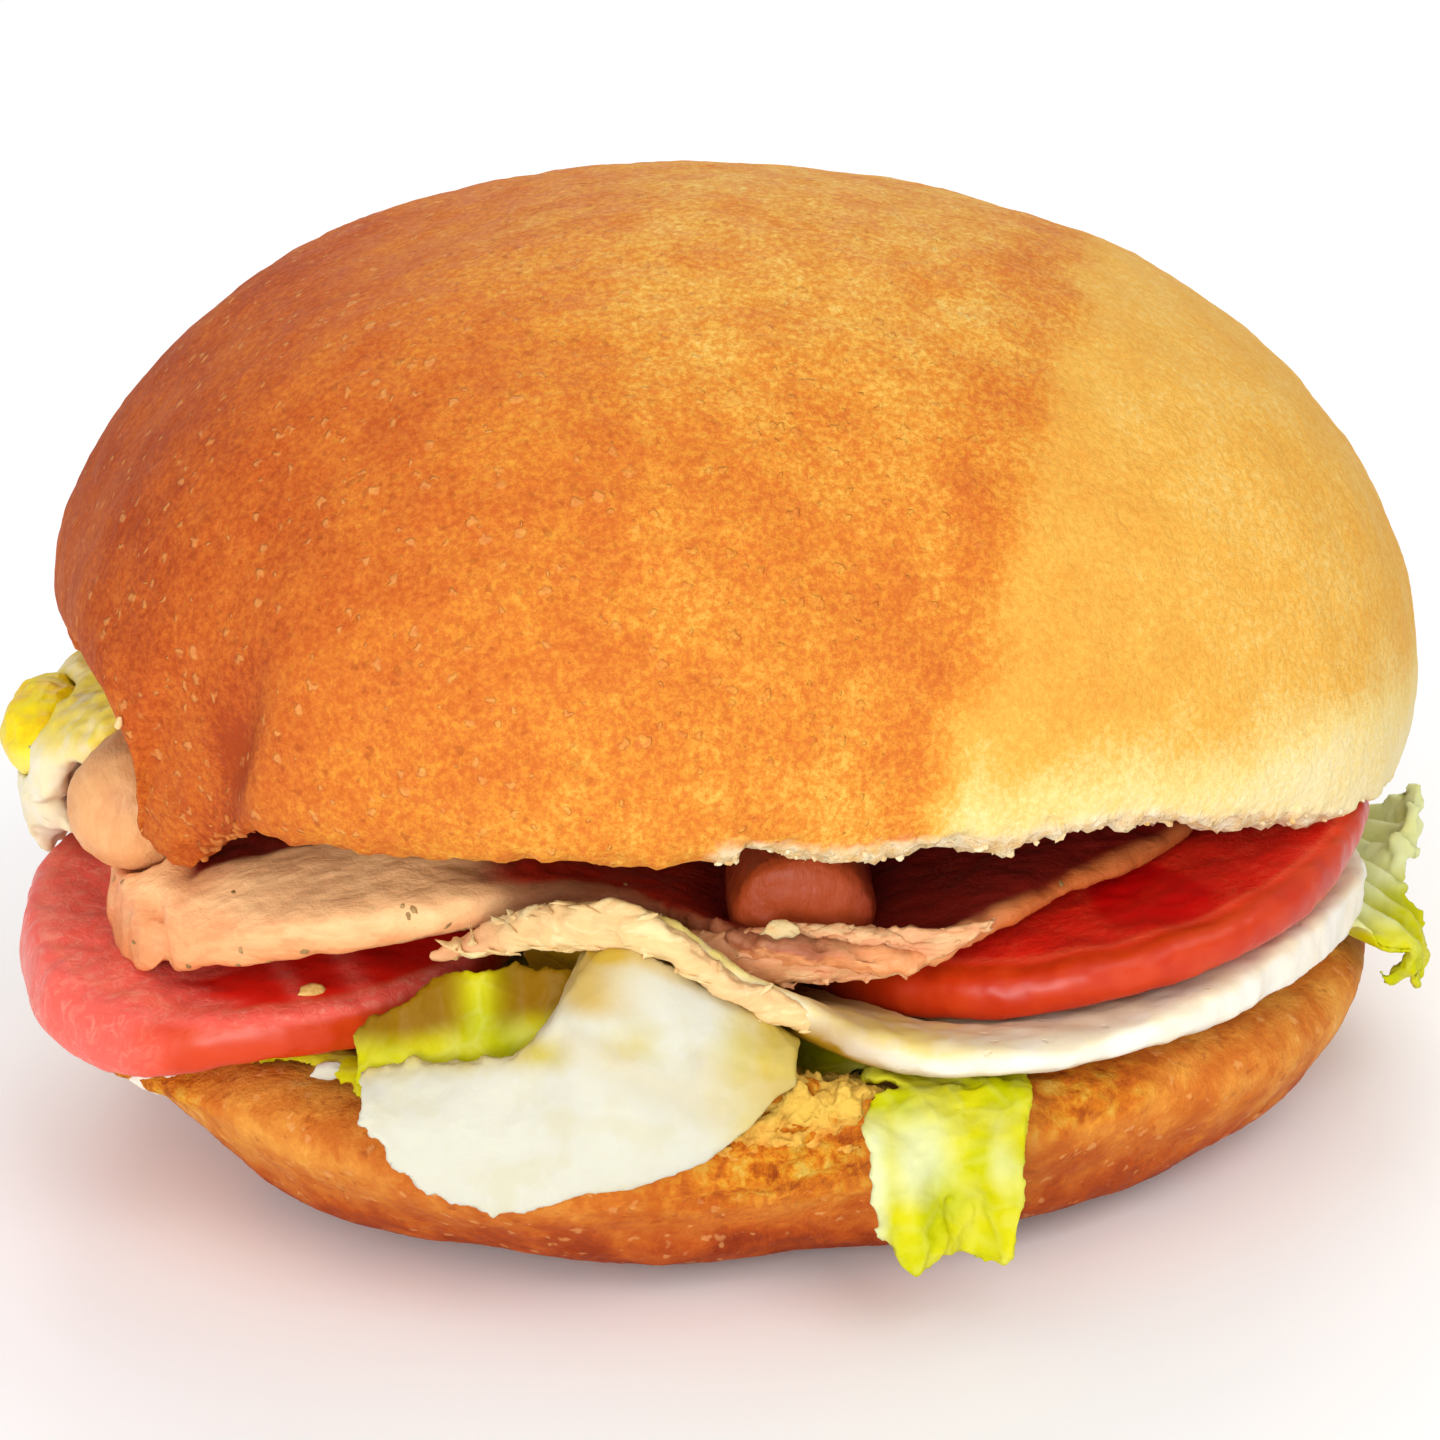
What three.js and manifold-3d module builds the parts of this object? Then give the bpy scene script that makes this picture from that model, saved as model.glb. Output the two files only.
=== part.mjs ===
// Breakfast roll: a soft round roll, split and filled with lettuce, fried egg, tomato slices,
// a back bacon rasher and sausages.
// Millimetres, +Z up, +X to the right of the front view, -Y towards the viewer.
// The roll stands on the flat underside of its heel.
import * as THREE from "three";
import { mergeVertices } from "three/addons/utils/BufferGeometryUtils.js";
import Module from "manifold-3d";

const wasm = await Module();
wasm.setup();

// Clearance kept between pieces that touch in the real roll
const clearance = 0.34;

// Top half of the roll
const crown = {
  halfWidth: 58.2,
  halfDepth: 52,
  rise: 41.9,
  squareness: 2.5,
  fullness: 2.14,
  turn: 0.254,
  centre: new THREE.Vector3(0.55, -0.5, 38.05),
  frontRaised: -0.089,
  rightLowered: 0.08,
  rimDrop: 4.2,
  rimTuck: 0.045,
  ceiling: 2.6,
};

// Bottom half of the roll
const heel = {
  halfWidth: 56.2,
  halfDepth: 52.6,
  squareness: 2.35,
  turn: 0.12,
  footShare: 0.675,
  leftTrim: 0.022,
  bellyHeight: 12,
  topHeight: 15.9,
  shoulderShare: 0.955,
};

// Tomato slices: centre, half sizes, slopes of the slice along X and Y, thickness
const leftSlice = {
  centre: new THREE.Vector3(-37.9, -17.2, 20.2),
  halfWidth: 21.8,
  halfDepth: 24.2,
  slopeX: -0.03,
  slopeY: 0.075,
  thickness: 4.5,
  lobes: 5,
  lobeTurn: 0.5,
  sides: 36,
};
const rightSlice = {
  centre: new THREE.Vector3(27.6, -17.8, 22.9),
  halfWidth: 26.6,
  halfDepth: 27.2,
  slopeX: 0.165,
  slopeY: 0.042,
  thickness: 4.4,
  lobes: 6,
  lobeTurn: 0.2,
  sides: 38,
};
const backSlice = {
  centre: new THREE.Vector3(-20, 25, 18.7),
  halfWidth: 20.5,
  halfDepth: 20.5,
  slopeX: 0.04,
  slopeY: -0.03,
  thickness: 4.2,
  lobes: 5,
  lobeTurn: 1.1,
  sides: 26,
};

// Sausages: radius, middle of the front end, middle of the back end
const middleSausage = {
  radius: 5.9,
  front: new THREE.Vector3(5.7, -43.5, 33.1),
  middle: new THREE.Vector3(4.6, -8, 34.6),
  back: new THREE.Vector3(1.5, 41, 33.4),
};
const leftSausage = {
  radius: 5.7,
  front: new THREE.Vector3(-48.4, -28, 34.5),
  middle: new THREE.Vector3(-38, 2, 34),
  back: new THREE.Vector3(-23, 36, 33.2),
};

// Thickness of the thin pieces
const leafThickness = 1.0;
const ribThickness = 1.6;
const eggThickness = 2.6;

// Smooth curve through keyed values, flat beyond both ends
function through(keys) {
  const slope = (i) => {
    const before = keys[Math.max(i - 1, 0)];
    const after = keys[Math.min(i + 1, keys.length - 1)];
    return (after[1] - before[1]) / (after[0] - before[0]);
  };
  return (x) => {
    if (x <= keys[0][0]) return keys[0][1];
    const last = keys.length - 1;
    if (x >= keys[last][0]) return keys[last][1];
    let i = 0;
    while (x > keys[i + 1][0]) i += 1;
    const width = keys[i + 1][0] - keys[i][0];
    const t = (x - keys[i][0]) / width;
    const rise = keys[i + 1][1] - keys[i][1];
    const bend = t * (1 - t);
    const straight = keys[i][1] + rise * t * t * (3 - 2 * t);
    return straight + bend * width * ((1 - t) * slope(i) - t * slope(i + 1));
  };
}

// Eases from 0 at the first edge to 1 at the second
function ease(from, to, x) {
  return THREE.MathUtils.smoothstep((x - from) / (to - from), 0, 1);
}

// Bell of height 1 around a middle
function bell(x, middle, width) {
  return Math.exp(-(((x - middle) / width) ** 2));
}

// Gentle unevenness of dough, meat and leaf: a few slanted waves, about -1 to 1
function uneven(x, y, z, length, phase) {
  const k = (2 * Math.PI) / length;
  const first = Math.sin(k * (0.9 * x + 0.4 * y + 0.2 * z) + phase);
  const second = Math.sin(k * (-0.5 * x + 1.1 * y + 0.5 * z) + 2.3 * phase);
  const third = Math.sin(k * (0.3 * x - 0.6 * y + 1.2 * z) + 3.7 * phase);
  return (first + second + third) / 2.2;
}

// Signed angle from one direction to another, within half a turn
function angleFrom(middle, angle) {
  return Math.atan2(Math.sin(angle - middle), Math.cos(angle - middle));
}

// Radius of a squarish round outline at an angle
function outline(shape, angle) {
  const c = Math.abs(Math.cos(angle - shape.turn)) / shape.halfWidth;
  const s = Math.abs(Math.sin(angle - shape.turn)) / shape.halfDepth;
  return (c ** shape.squareness + s ** shape.squareness) ** (-1 / shape.squareness);
}

// Sector angles that lie closer together at the front of the roll, where the torn edges are
function sectorAngles(count, crowding) {
  const front = -Math.PI / 2;
  return Array.from({ length: count }, (_, i) => {
    const even = (2 * Math.PI * i) / count - Math.PI;
    return front + even - crowding * Math.sin(even);
  });
}

// Closed body of stacked rings between two poles; place(ring, angle) gives each point
function ringSolid(ringCount, angles, place) {
  const points = [];
  const faces = [];
  const sides = angles.length;
  points.push(place(0, angles[0]));
  for (let r = 1; r < ringCount; r += 1) {
    for (const angle of angles) points.push(place(r, angle));
  }
  points.push(place(ringCount, angles[0]));
  const last = points.length - 1;
  const at = (r, s) => 1 + (r - 1) * sides + (s % sides);
  for (let s = 0; s < sides; s += 1) {
    faces.push(0, at(1, s), at(1, s + 1));
    faces.push(last, at(ringCount - 1, s + 1), at(ringCount - 1, s));
    for (let r = 1; r < ringCount - 1; r += 1) {
      faces.push(at(r, s), at(r + 1, s), at(r + 1, s + 1));
      faces.push(at(r, s), at(r + 1, s + 1), at(r, s + 1));
    }
  }
  return closedGeometry(points, faces);
}

// Positions along a sheet from 0 to 1, with a narrow first and last step for its rounded rim
function sheetSteps(count, rimStep) {
  return Array.from({ length: count + 1 }, (_, i) => {
    if (i === 0) return 0;
    if (i === count) return 1;
    return rimStep + ((1 - 2 * rimStep) * (i - 1)) / (count - 2);
  });
}

// Closed thin body around a middle surface; both faces are split into triangles alike
function sheetSolid({ across, along, rim = 0.03, middle, thickness }) {
  const us = sheetSteps(across, rim);
  const vs = sheetSteps(along, rim);
  const step = 0.01;
  const points = [];
  const place = (u, v, side) => {
    const here = middle(u, v);
    const du = middle(Math.min(u + step, 1), v).sub(middle(Math.max(u - step, 0), v));
    const dv = middle(u, Math.min(v + step, 1)).sub(middle(u, Math.max(v - step, 0)));
    const normal = du.cross(dv).normalize();
    const edge = u === 0 || u === 1 || v === 0 || v === 1;
    const half = thickness(u, v) * (edge ? 0.27 : 0.5);
    return here.addScaledVector(normal, side * half);
  };
  for (const side of [1, -1]) {
    for (const v of vs) {
      for (const u of us) points.push(place(u, v, side));
    }
  }
  const wide = across + 1;
  const under = wide * (along + 1);
  const faces = [];
  for (let j = 0; j < along; j += 1) {
    for (let i = 0; i < across; i += 1) {
      const a = j * wide + i;
      const [b, c, d] = [a + 1, a + wide + 1, a + wide];
      faces.push(a, b, c, a, c, d);
      faces.push(under + a, under + c, under + b, under + a, under + d, under + c);
    }
  }
  const border = [];
  for (let i = 0; i < across; i += 1) border.push(i);
  for (let j = 0; j < along; j += 1) border.push(j * wide + across);
  for (let i = across; i > 0; i -= 1) border.push(along * wide + i);
  for (let j = along; j > 0; j -= 1) border.push(j * wide);
  border.forEach((a, i) => {
    const b = border[(i + 1) % border.length];
    faces.push(a, under + a, under + b, a, under + b, b);
  });
  return closedGeometry(points, faces);
}

// Closed thin body around a round middle surface; share runs from the middle to the edge
function discSheet({ rings, angles, middle, thickness }) {
  const steps = [];
  for (let r = 0; r < rings; r += 1) steps.push(r / (rings - 1) - (r === rings - 1 ? 0.02 : 0));
  steps.push(1);
  const count = 2 * rings + 1;
  return ringSolid(count, angles, (r, angle) => {
    const above = r <= rings;
    const share = steps[above ? r : count - r];
    const half = thickness(share, angle) * (share === 1 ? 0.27 : 0.5);
    const here = middle(share, angle);
    here.z += above ? half : -half;
    return here;
  });
}

function closedGeometry(points, faces) {
  const geometry = new THREE.BufferGeometry();
  const corners = points.flatMap((p) => [p.x, p.y, p.z]);
  geometry.setAttribute("position", new THREE.Float32BufferAttribute(corners, 3));
  geometry.setIndex(faces);
  return geometry;
}

// Solid for cutting and joining; its shared corners are merged first
function toSolid(geometry) {
  const bare = new THREE.BufferGeometry();
  bare.setAttribute("position", geometry.getAttribute("position").clone());
  bare.setIndex(geometry.index);
  const merged = mergeVertices(bare, 1e-4);
  const solid = new wasm.Manifold(
    new wasm.Mesh({
      numProp: 3,
      vertProperties: new Float32Array(merged.attributes.position.array),
      triVerts: new Uint32Array(merged.index.array),
    }),
  );
  if (solid.volume() > 0) return solid;
  const turned = merged.index.array.slice();
  for (let i = 0; i < turned.length; i += 3) {
    [turned[i + 1], turned[i + 2]] = [turned[i + 2], turned[i + 1]];
  }
  merged.setIndex(Array.from(turned));
  return toSolid(merged);
}

function toGeometry(solid) {
  const mesh = solid.getMesh();
  const geometry = new THREE.BufferGeometry();
  geometry.setAttribute("position", new THREE.Float32BufferAttribute(mesh.vertProperties, 3));
  geometry.setIndex(Array.from(mesh.triVerts));
  return geometry;
}

// The same solid with every corner moved out along its normal
function grown(solid, distance) {
  const geometry = toGeometry(solid);
  geometry.computeVertexNormals();
  const { position, normal } = geometry.attributes;
  for (let i = 0; i < position.count; i += 1) {
    position.setXYZ(
      i,
      position.getX(i) + distance * normal.getX(i),
      position.getY(i) + distance * normal.getY(i),
      position.getZ(i) + distance * normal.getZ(i),
    );
  }
  return toSolid(geometry);
}

// Largest body left of a piece once its neighbours have pressed into it
function pressed(solid, neighbours) {
  let rest = solid;
  for (const other of neighbours) {
    if (rest.intersect(other.outer).volume() > 0) rest = rest.subtract(other.outer);
  }
  const bodies = rest.decompose();
  bodies.sort((a, b) => b.volume() - a.volume());
  return bodies[0].simplify(0.05);
}

// Turns the level dome into place: front edge raised, right side lowered
const crownSeat = new THREE.Matrix4()
  .makeRotationFromEuler(new THREE.Euler(crown.frontRaised, crown.rightLowered, 0))
  .setPosition(crown.centre);

// How far the rim of the crown stands above or below its even plane, by angle in degrees
const rimRise = through([
  [-180, 3.6],
  [-163, 5.8],
  [-152, 5.2],
  [-143, 1.6],
  [-137, -0.4],
  [-115, -0.4],
  [-100, -0.3],
  [-92, -0.4],
  [-88, 0.8],
  [-78, -0.2],
  [-68, 0.2],
  [-60, 1.7],
  [-48, 0.7],
  [-40, -1],
  [-31, -1.9],
  [-15, -2.4],
  [10, -2],
  [60, -0.6],
  [100, -1],
  [140, -1.6],
  [165, 2.4],
  [180, 3.6],
]);

// Features of the crown's skin: where they lie around the roll, and their size
const creaseAngle = THREE.MathUtils.degToRad(-136);
const creaseDepth = 2.4;
const lobeSwell = 1.3;
const liftedAngle = THREE.MathUtils.degToRad(-166);
const dentAngle = THREE.MathUtils.degToRad(-80);
const toothHeight = 0.75;
const rimReach = 5;

// Level profile of the crown from the top of the dome to the middle of its underside
const domeRings = 9;
const capTopRings = 6;
const tuckRings = 2;
const crownUnder = [
  [0.915, -4.1],
  [0.86, -2.6],
  [0.78, 1.5],
  [0.62, crown.ceiling],
  [0, crown.ceiling],
];

function crownShare(ring) {
  if (ring <= domeRings) {
    const lift = (Math.PI / 2) * (ring / domeRings) ** 0.92;
    const share = Math.sin(lift) ** (2 / crown.fullness);
    return [share, crown.rise * Math.max(Math.cos(lift), 0) ** (2 / crown.fullness)];
  }
  if (ring <= domeRings + tuckRings) {
    const turn = ((Math.PI / 2) * (ring - domeRings)) / tuckRings;
    return [1 - crown.rimTuck * (1 - Math.cos(turn)), -crown.rimDrop * Math.sin(turn)];
  }
  return crownUnder[ring - domeRings - tuckRings - 1];
}

function crownPoint(ring, angle) {
  const [share, height] = crownShare(ring);
  const radius = outline(crown, angle) * share;
  const point = new THREE.Vector3(radius * Math.cos(angle), radius * Math.sin(angle), height);
  const degrees = THREE.MathUtils.radToDeg(angleFrom(0, angle));
  const overRim = Math.max(height + crown.rimDrop, 0);
  const nearRim = ring > capTopRings ? Math.exp(-overRim / rimReach) * ease(0.7, 0.9, share) : 0;
  point.z += nearRim * rimRise(degrees);
  // Torn teeth along the front right of the rim
  const torn = ease(-93, -86, degrees) * (1 - ease(-36, -24, degrees)) * ease(0.88, 0.93, share);
  const tooth = uneven(point.x, 0, 0, 7.3, 1.1) + 0.7 * uneven(point.x, 0, 0, 4.1, 2.2);
  point.z += toothHeight * torn * tooth * ease(0.5, -4, height);
  // Crease at the left of the front, with the lobe of dough that hangs beside it
  const side = angleFrom(creaseAngle, angle);
  const low = 1 - ease(2, 26, height);
  const crease = creaseDepth * bell(side, 0.007 * Math.max(height, 0), 0.06) * low;
  const lobe = lobeSwell * bell(side, -0.17, 0.1) * (1 - ease(-1, 12, height));
  const pulledIn = 2.4 * bell(angleFrom(liftedAngle, angle), 0, 0.42) * nearRim;
  const shoulder = 0.6 * bell(degrees, 12, 40) * bell(height, 26, 9);
  const slump = 0.8 * bell(angleFrom(Math.PI, angle), 0, 0.7) * bell(height, 29, 11);
  const bumps = 0.5 * uneven(point.x, point.y, point.z, 34, 0.7) + shoulder - slump;
  const dent = 1.1 * bell(angleFrom(dentAngle, angle), 0, 0.16) * bell(share, 0.86, 0.09);
  const skin = share > 0.05 && ring <= domeRings + tuckRings;
  const push = skin ? lobe - crease - pulledIn + bumps - dent : 0;
  const out = new THREE.Vector3(Math.cos(angle) * share, Math.sin(angle) * share, 1 - share).normalize();
  point.addScaledVector(out, push);
  return point.applyMatrix4(crownSeat);
}

function makeCrown() {
  return ringSolid(domeRings + tuckRings + crownUnder.length, sectorAngles(66, 0.42), crownPoint);
}

// Heel: share of its outline and height, from the foot to the middle of the cut face
const heelProfile = [
  [0, 0],
  [0.42, 0],
  [heel.footShare, 0],
  [0.78, 1.3],
  [0.885, 4.4],
  [0.96, 8.2],
  [1, heel.bellyHeight],
  [0.99, 14],
  [heel.shoulderShare, 15.5],
  [0.9, heel.topHeight],
  [0.78, heel.topHeight + 0.1],
  [0.45, heel.topHeight],
  [0, heel.topHeight],
];

// Height of the torn lip of crumb over the heel's front, by X
const lipHeight = through([
  [-9, 0],
  [-3, 1.4],
  [1.2, 3.4],
  [4.8, 5.1],
  [6.8, 3.6],
  [8.8, 5],
  [11, 2.8],
  [17, 1.4],
  [27, 1.2],
  [36, 0.4],
  [44, -0.6],
  [52, -1.2],
]);

function heelPoint(ring, angle) {
  const [share, height] = heelProfile[ring];
  const trim = 1 - heel.leftTrim * bell(angleFrom(THREE.MathUtils.degToRad(-138), angle), 0, 0.4);
  const radius = outline(heel, angle) * share * trim;
  const point = new THREE.Vector3(radius * Math.cos(angle), radius * Math.sin(angle), height);
  const out = new THREE.Vector3(Math.cos(angle), Math.sin(angle), 0);
  if (height > 1) {
    const front = ease(-20, -42, point.y);
    const rimWeight = bell(share, 0.95, 0.045) * ease(9, 15, height);
    point.z += front * rimWeight * lipHeight(point.x);
    const patches = bell(point.x, 4, 8) + 0.6 * bell(point.x, 30, 8);
    const bare = front * patches * ease(5, 9, height) * ease(0.88, 0.95, share);
    point.addScaledVector(out, bare * (0.9 * uneven(point.x, height, 0, 6.1, 0.4) - 0.8));
    if (share > 0.8) point.addScaledVector(out, 0.5 * uneven(point.x, point.y, point.z, 31, 1.9));
    if (share < 0.92) point.z += 0.25 * uneven(point.x, point.y, 0, 19, 0.3);
  }
  return point;
}

function makeHeel() {
  return ringSolid(heelProfile.length - 1, sectorAngles(62, 0.4), heelPoint);
}

// Height of a slice's underside at a place
function sliceUnder(slice, x, y) {
  return slice.centre.z + slice.slopeX * (x - slice.centre.x) + slice.slopeY * (y - slice.centre.y);
}

// Tomato slice: round cut, seed chambers sunk between fleshy walls, convex skin edge
function makeTomato(slice) {
  const half = slice.thickness / 2;
  const profile = [
    [0, 1],
    [0.26, 1],
    [0.46, 1],
    [0.66, 1],
    [0.83, 1],
    [0.955, 0.98],
    [0.99, 0.62],
    [1, 0],
    [0.99, -0.7],
    [0.955, -1],
    [0.6, -1],
    [0, -1],
  ];
  return ringSolid(profile.length - 1, sectorAngles(slice.sides, 0.25), (ring, angle) => {
    const [share, level] = profile[ring];
    const wobble = 1 + 0.018 * Math.sin(3 * angle + slice.lobeTurn) + 0.012 * Math.sin(5 * angle);
    const x = slice.centre.x + slice.halfWidth * share * wobble * Math.cos(angle);
    const y = slice.centre.y + slice.halfDepth * share * wobble * Math.sin(angle);
    const chamber = Math.max(Math.cos(slice.lobes * (angle + slice.lobeTurn)), -0.2);
    const sunk = 0.55 * Math.max(chamber, 0) * bell(share, 0.62, 0.2);
    const top = level === 1 ? -sunk + 0.1 * uneven(x, y, 0, 8, 1) : 0;
    return new THREE.Vector3(x, y, sliceUnder(slice, x, y) + half + half * level + top);
  });
}

// Sausage: round bar along a bent line, with blunt rounded ends
function makeSausage(sausage) {
  const ends = sausage.front.clone().add(sausage.back);
  const bend = sausage.middle.clone().multiplyScalar(2).addScaledVector(ends, -0.5);
  const line = new THREE.QuadraticBezierCurve3(sausage.front, bend, sausage.back);
  const capRings = 3;
  const bodyRings = 9;
  const rings = bodyRings + 2 * capRings;
  const sides = 13;
  const angles = Array.from({ length: sides }, (_, i) => (2 * Math.PI * i) / sides);
  const capDepth = (0.8 * sausage.radius) / line.getLength();
  return ringSolid(rings, angles, (ring, angle) => {
    const fromEnd = Math.min(ring, rings - ring, capRings);
    const roundness = (Math.PI / 2) * (fromEnd / capRings);
    const inset = capDepth * (1 - Math.cos(roundness));
    const along = THREE.MathUtils.clamp((ring - capRings) / bodyRings, 0, 1);
    const straight = (1 - 2 * capDepth) * along + capDepth;
    const outward = along < 0.5 ? inset - capDepth : capDepth - inset;
    const t = straight + (fromEnd < capRings ? outward : 0);
    const radius = sausage.radius * Math.sin(roundness) * (1 + 0.025 * Math.sin(9 * t));
    const forward = line.getTangent(t);
    const side = new THREE.Vector3(0, 0, 1).cross(forward).normalize();
    const up = forward.clone().cross(side);
    const point = line.getPoint(t);
    point.addScaledVector(side, radius * Math.cos(angle));
    return point.addScaledVector(up, radius * Math.sin(angle));
  });
}

// Front edge of the rasher: how far towards the viewer, its height and its thickness, by X
const rasherFront = through([
  [-52, -29.5],
  [-47, -34.8],
  [-42, -38.4],
  [-36, -40],
  [-28, -41],
  [-20, -40.5],
  [-14, -38],
  [-8, -37],
  [-4, -40.5],
  [0, -45.2],
  [8, -47.2],
  [13, -46.6],
  [18, -43.6],
  [24, -39.6],
  [30, -34.6],
  [36, -29.6],
  [42, -25],
]);
const rasherFrontHeight = through([
  [-52, 26.6],
  [-46, 26.6],
  [-38, 28],
  [-28, 29.3],
  [-18, 30.4],
  [-10, 29.6],
  [-4, 29.6],
  [2, 29.2],
  [8, 28.6],
  [13, 27.3],
  [18, 27.9],
  [24, 28.6],
  [30, 29],
  [36, 28.9],
  [42, 29.2],
]);
const rasherInnerHeight = through([
  [-52, 29.4],
  [-40, 29.8],
  [-33, 30.4],
  [-26, 31.6],
  [-16, 30],
  [-8, 27.6],
  [0, 26.2],
  [12, 26.6],
  [24, 29.6],
  [42, 31.6],
]);
const rasherThickness = through([
  [-52, 4.2],
  [-46, 5],
  [-24, 5.2],
  [-15, 4],
  [-8, 2.6],
  [4, 2.4],
  [18, 2.4],
  [30, 2],
  [42, 1.6],
]);

// Long rasher, draped over both tomato slices with a ragged front edge
const rasherStart = -50.5;
const rasherLength = 92;
const rasherReach = 34;

function makeRasher() {
  return sheetSolid({
    across: 34,
    along: 6,
    rim: 0.025,
    middle: (u, v) => {
      const x = rasherStart + rasherLength * u;
      const ends = Math.min(1, Math.sqrt(Math.max(1 - (2 * u - 1) ** 12, 0.04)));
      const front = rasherFront(x) + 0.55 * uneven(x, 0, 0, 8.7, 2.4) * ease(-26, -6, x);
      const depth = rasherReach * (1 - 0.25 * ease(10, 42, x));
      const y = front + depth * (0.5 - ends / 2) * 0.5 + depth * v * (0.5 + ends / 2);
      const settle = ease(0, 0.3, v);
      const dip = -1.5 * bell(v, 0.16, 0.09) * ease(-4, 1, x) * (1 - ease(13, 20, x));
      const lean = 0.3 * uneven(x, y, 0, 17, 0.2);
      const z = rasherFrontHeight(x) * (1 - settle) + rasherInnerHeight(x) * settle + dip + lean;
      return new THREE.Vector3(x, y, z);
    },
    thickness: (u, v) => {
      const full = rasherThickness(rasherStart + rasherLength * u);
      return full * (1 - 0.25 * bell(v, 0, 0.1));
    },
  });
}

// Second rasher, laid across the back
function makeBackRasher() {
  const start = -37;
  const length = 76;
  const innerEdge = 4;
  const rollRadius = 56;
  const recess = 4.5;
  return sheetSolid({
    across: 16,
    along: 6,
    middle: (u, v) => {
      const x = start + length * u;
      const edge = Math.sqrt(Math.max(rollRadius ** 2 - (x * 1.15) ** 2, 0)) - recess;
      const back = edge + 0.9 * uneven(x, 0, 0, 12, 0.9);
      const y = innerEdge + (back - innerEdge) * v;
      const droop = -1.6 * ease(0.76, 1, v);
      const z = 26.2 - 2.8 * ease(-4, 14, x) + droop + 0.6 * uneven(x, y, 0, 21, 1.4);
      return new THREE.Vector3(x, y, z);
    },
    thickness: () => rasherThickness(-8),
  });
}

// Front edge of the fried egg: towards the viewer, height of its middle and its thickness, by X
const eggFront = through([
  [-17, -41.5],
  [-13, -45],
  [-9.5, -47.8],
  [-5, -48.8],
  [2, -49],
  [9, -49.6],
  [15, -50.6],
  [24, -51],
  [32, -48],
  [40, -42.5],
  [47, -34.5],
  [52, -26],
  [55, -15],
]);
const eggFrontHeight = through([
  [-17, 29],
  [-13, 31.2],
  [-9.5, 32.4],
  [-6, 32.4],
  [-3, 30.6],
  [0, 27.8],
  [4, 25.6],
  [8, 22.9],
  [13, 21],
  [20, 20.6],
  [32, 21],
  [42, 21.6],
  [50, 21.8],
  [55, 21.6],
]);
const eggFrontThickness = through([
  [-17, 2],
  [-12, 3.2],
  [-5, 2.8],
  [0, 2.2],
  [5, 3],
  [9, 3.6],
  [14, 3],
  [24, 2.6],
  [36, 3.4],
  [48, 4.6],
  [55, 4],
]);
const eggBack = through([
  [-17, -35],
  [-11, -29],
  [-4, -12],
  [2, 24],
  [10, 44],
  [24, 46],
  [38, 37],
  [48, 21],
  [55, -3],
]);

// Fried egg white: climbs over the dome of lettuce at the left, lies under the right tomato slice
const eggStart = -16.5;
const eggLength = 70.5;
const eggBed = 19.4;

function makeEggWhite() {
  return sheetSolid({
    across: 27,
    along: 9,
    rim: 0.02,
    middle: (u, v) => {
      const x = eggStart + eggLength * u;
      const front = eggFront(x);
      const spread = v < 0.5 ? 0.56 * v : 0.28 + 1.44 * (v - 0.5);
      const y = front + (eggBack(x) - front) * spread;
      const fromDome = ease(-17, -3, x);
      const inward = y - front;
      const settle = ease(0, 11, inward) * fromDome + ease(5, 12, inward) * (1 - fromDome);
      const roomUnderSlice = Math.max(sliceUnder(rightSlice, x, y) - 22.2, 0);
      const flat = eggBed + 0.5 * roomUnderSlice * ease(30, 0, y);
      const z = eggFrontHeight(x) * (1 - settle) + flat * settle;
      const ruffle = 0.5 * uneven(x, y, 0, 15, 2.1) * ease(4, 30, y);
      return new THREE.Vector3(x, y, z + ruffle);
    },
    thickness: (u, v) => {
      const x = eggStart + eggLength * u;
      const inner = eggThickness + 0.6 * bell(x, 40, 18);
      const inside = ease(0, 0.35, v);
      return eggFrontThickness(x) * (1 - inside) + inner * inside;
    },
  });
}

// White of the second egg, folded down over the left end of the filling
function makeLeftEggWhite() {
  const middleY = -3.5;
  const thickness = 3.1;
  const line = new THREE.CatmullRomCurve3([
    new THREE.Vector3(-45.5, 0, 39.4),
    new THREE.Vector3(-53, 0, 38.6),
    new THREE.Vector3(-58.6, 0, 35.2),
    new THREE.Vector3(-59.3, 0, 30),
    new THREE.Vector3(-58, 0, 25.2),
  ]);
  return sheetSolid({
    across: 11,
    along: 8,
    rim: 0.06,
    middle: (u, v) => {
      const point = line.getPoint(v);
      const spread = 15 - 3.5 * v + 1.2 * Math.sin(7 * v);
      point.y = middleY + spread * (2 * u - 1);
      const turn = Math.abs(2 * u - 1) ** 2.4;
      point.x += 4.6 * turn * v + 0.5 * Math.sin(9 * u + 3 * v);
      point.z += -1.6 * turn * (1 - v) + 0.5 * Math.sin(11 * u);
      return point;
    },
    thickness: (u, v) => thickness + 0.5 * Math.sin(8 * u + 5 * v),
  });
}

// Cooked yolk that bulges through the folded egg
function makeYolk() {
  const middle = new THREE.Vector3(-58.2, -5.5, 35.2);
  const half = new THREE.Vector3(3.9, 7.4, 3.7);
  const rings = 8;
  const sides = 14;
  const angles = Array.from({ length: sides }, (_, i) => (2 * Math.PI * i) / sides);
  return ringSolid(rings, angles, (ring, angle) => {
    const lift = (Math.PI * ring) / rings;
    const point = new THREE.Vector3(
      Math.sin(lift) * Math.cos(angle) * half.x,
      Math.sin(lift) * Math.sin(angle) * half.y,
      Math.cos(lift) * half.z,
    );
    point.multiplyScalar(1 + 0.07 * uneven(point.x, point.y, point.z, 9, 0.5));
    return point.add(middle);
  });
}

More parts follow.
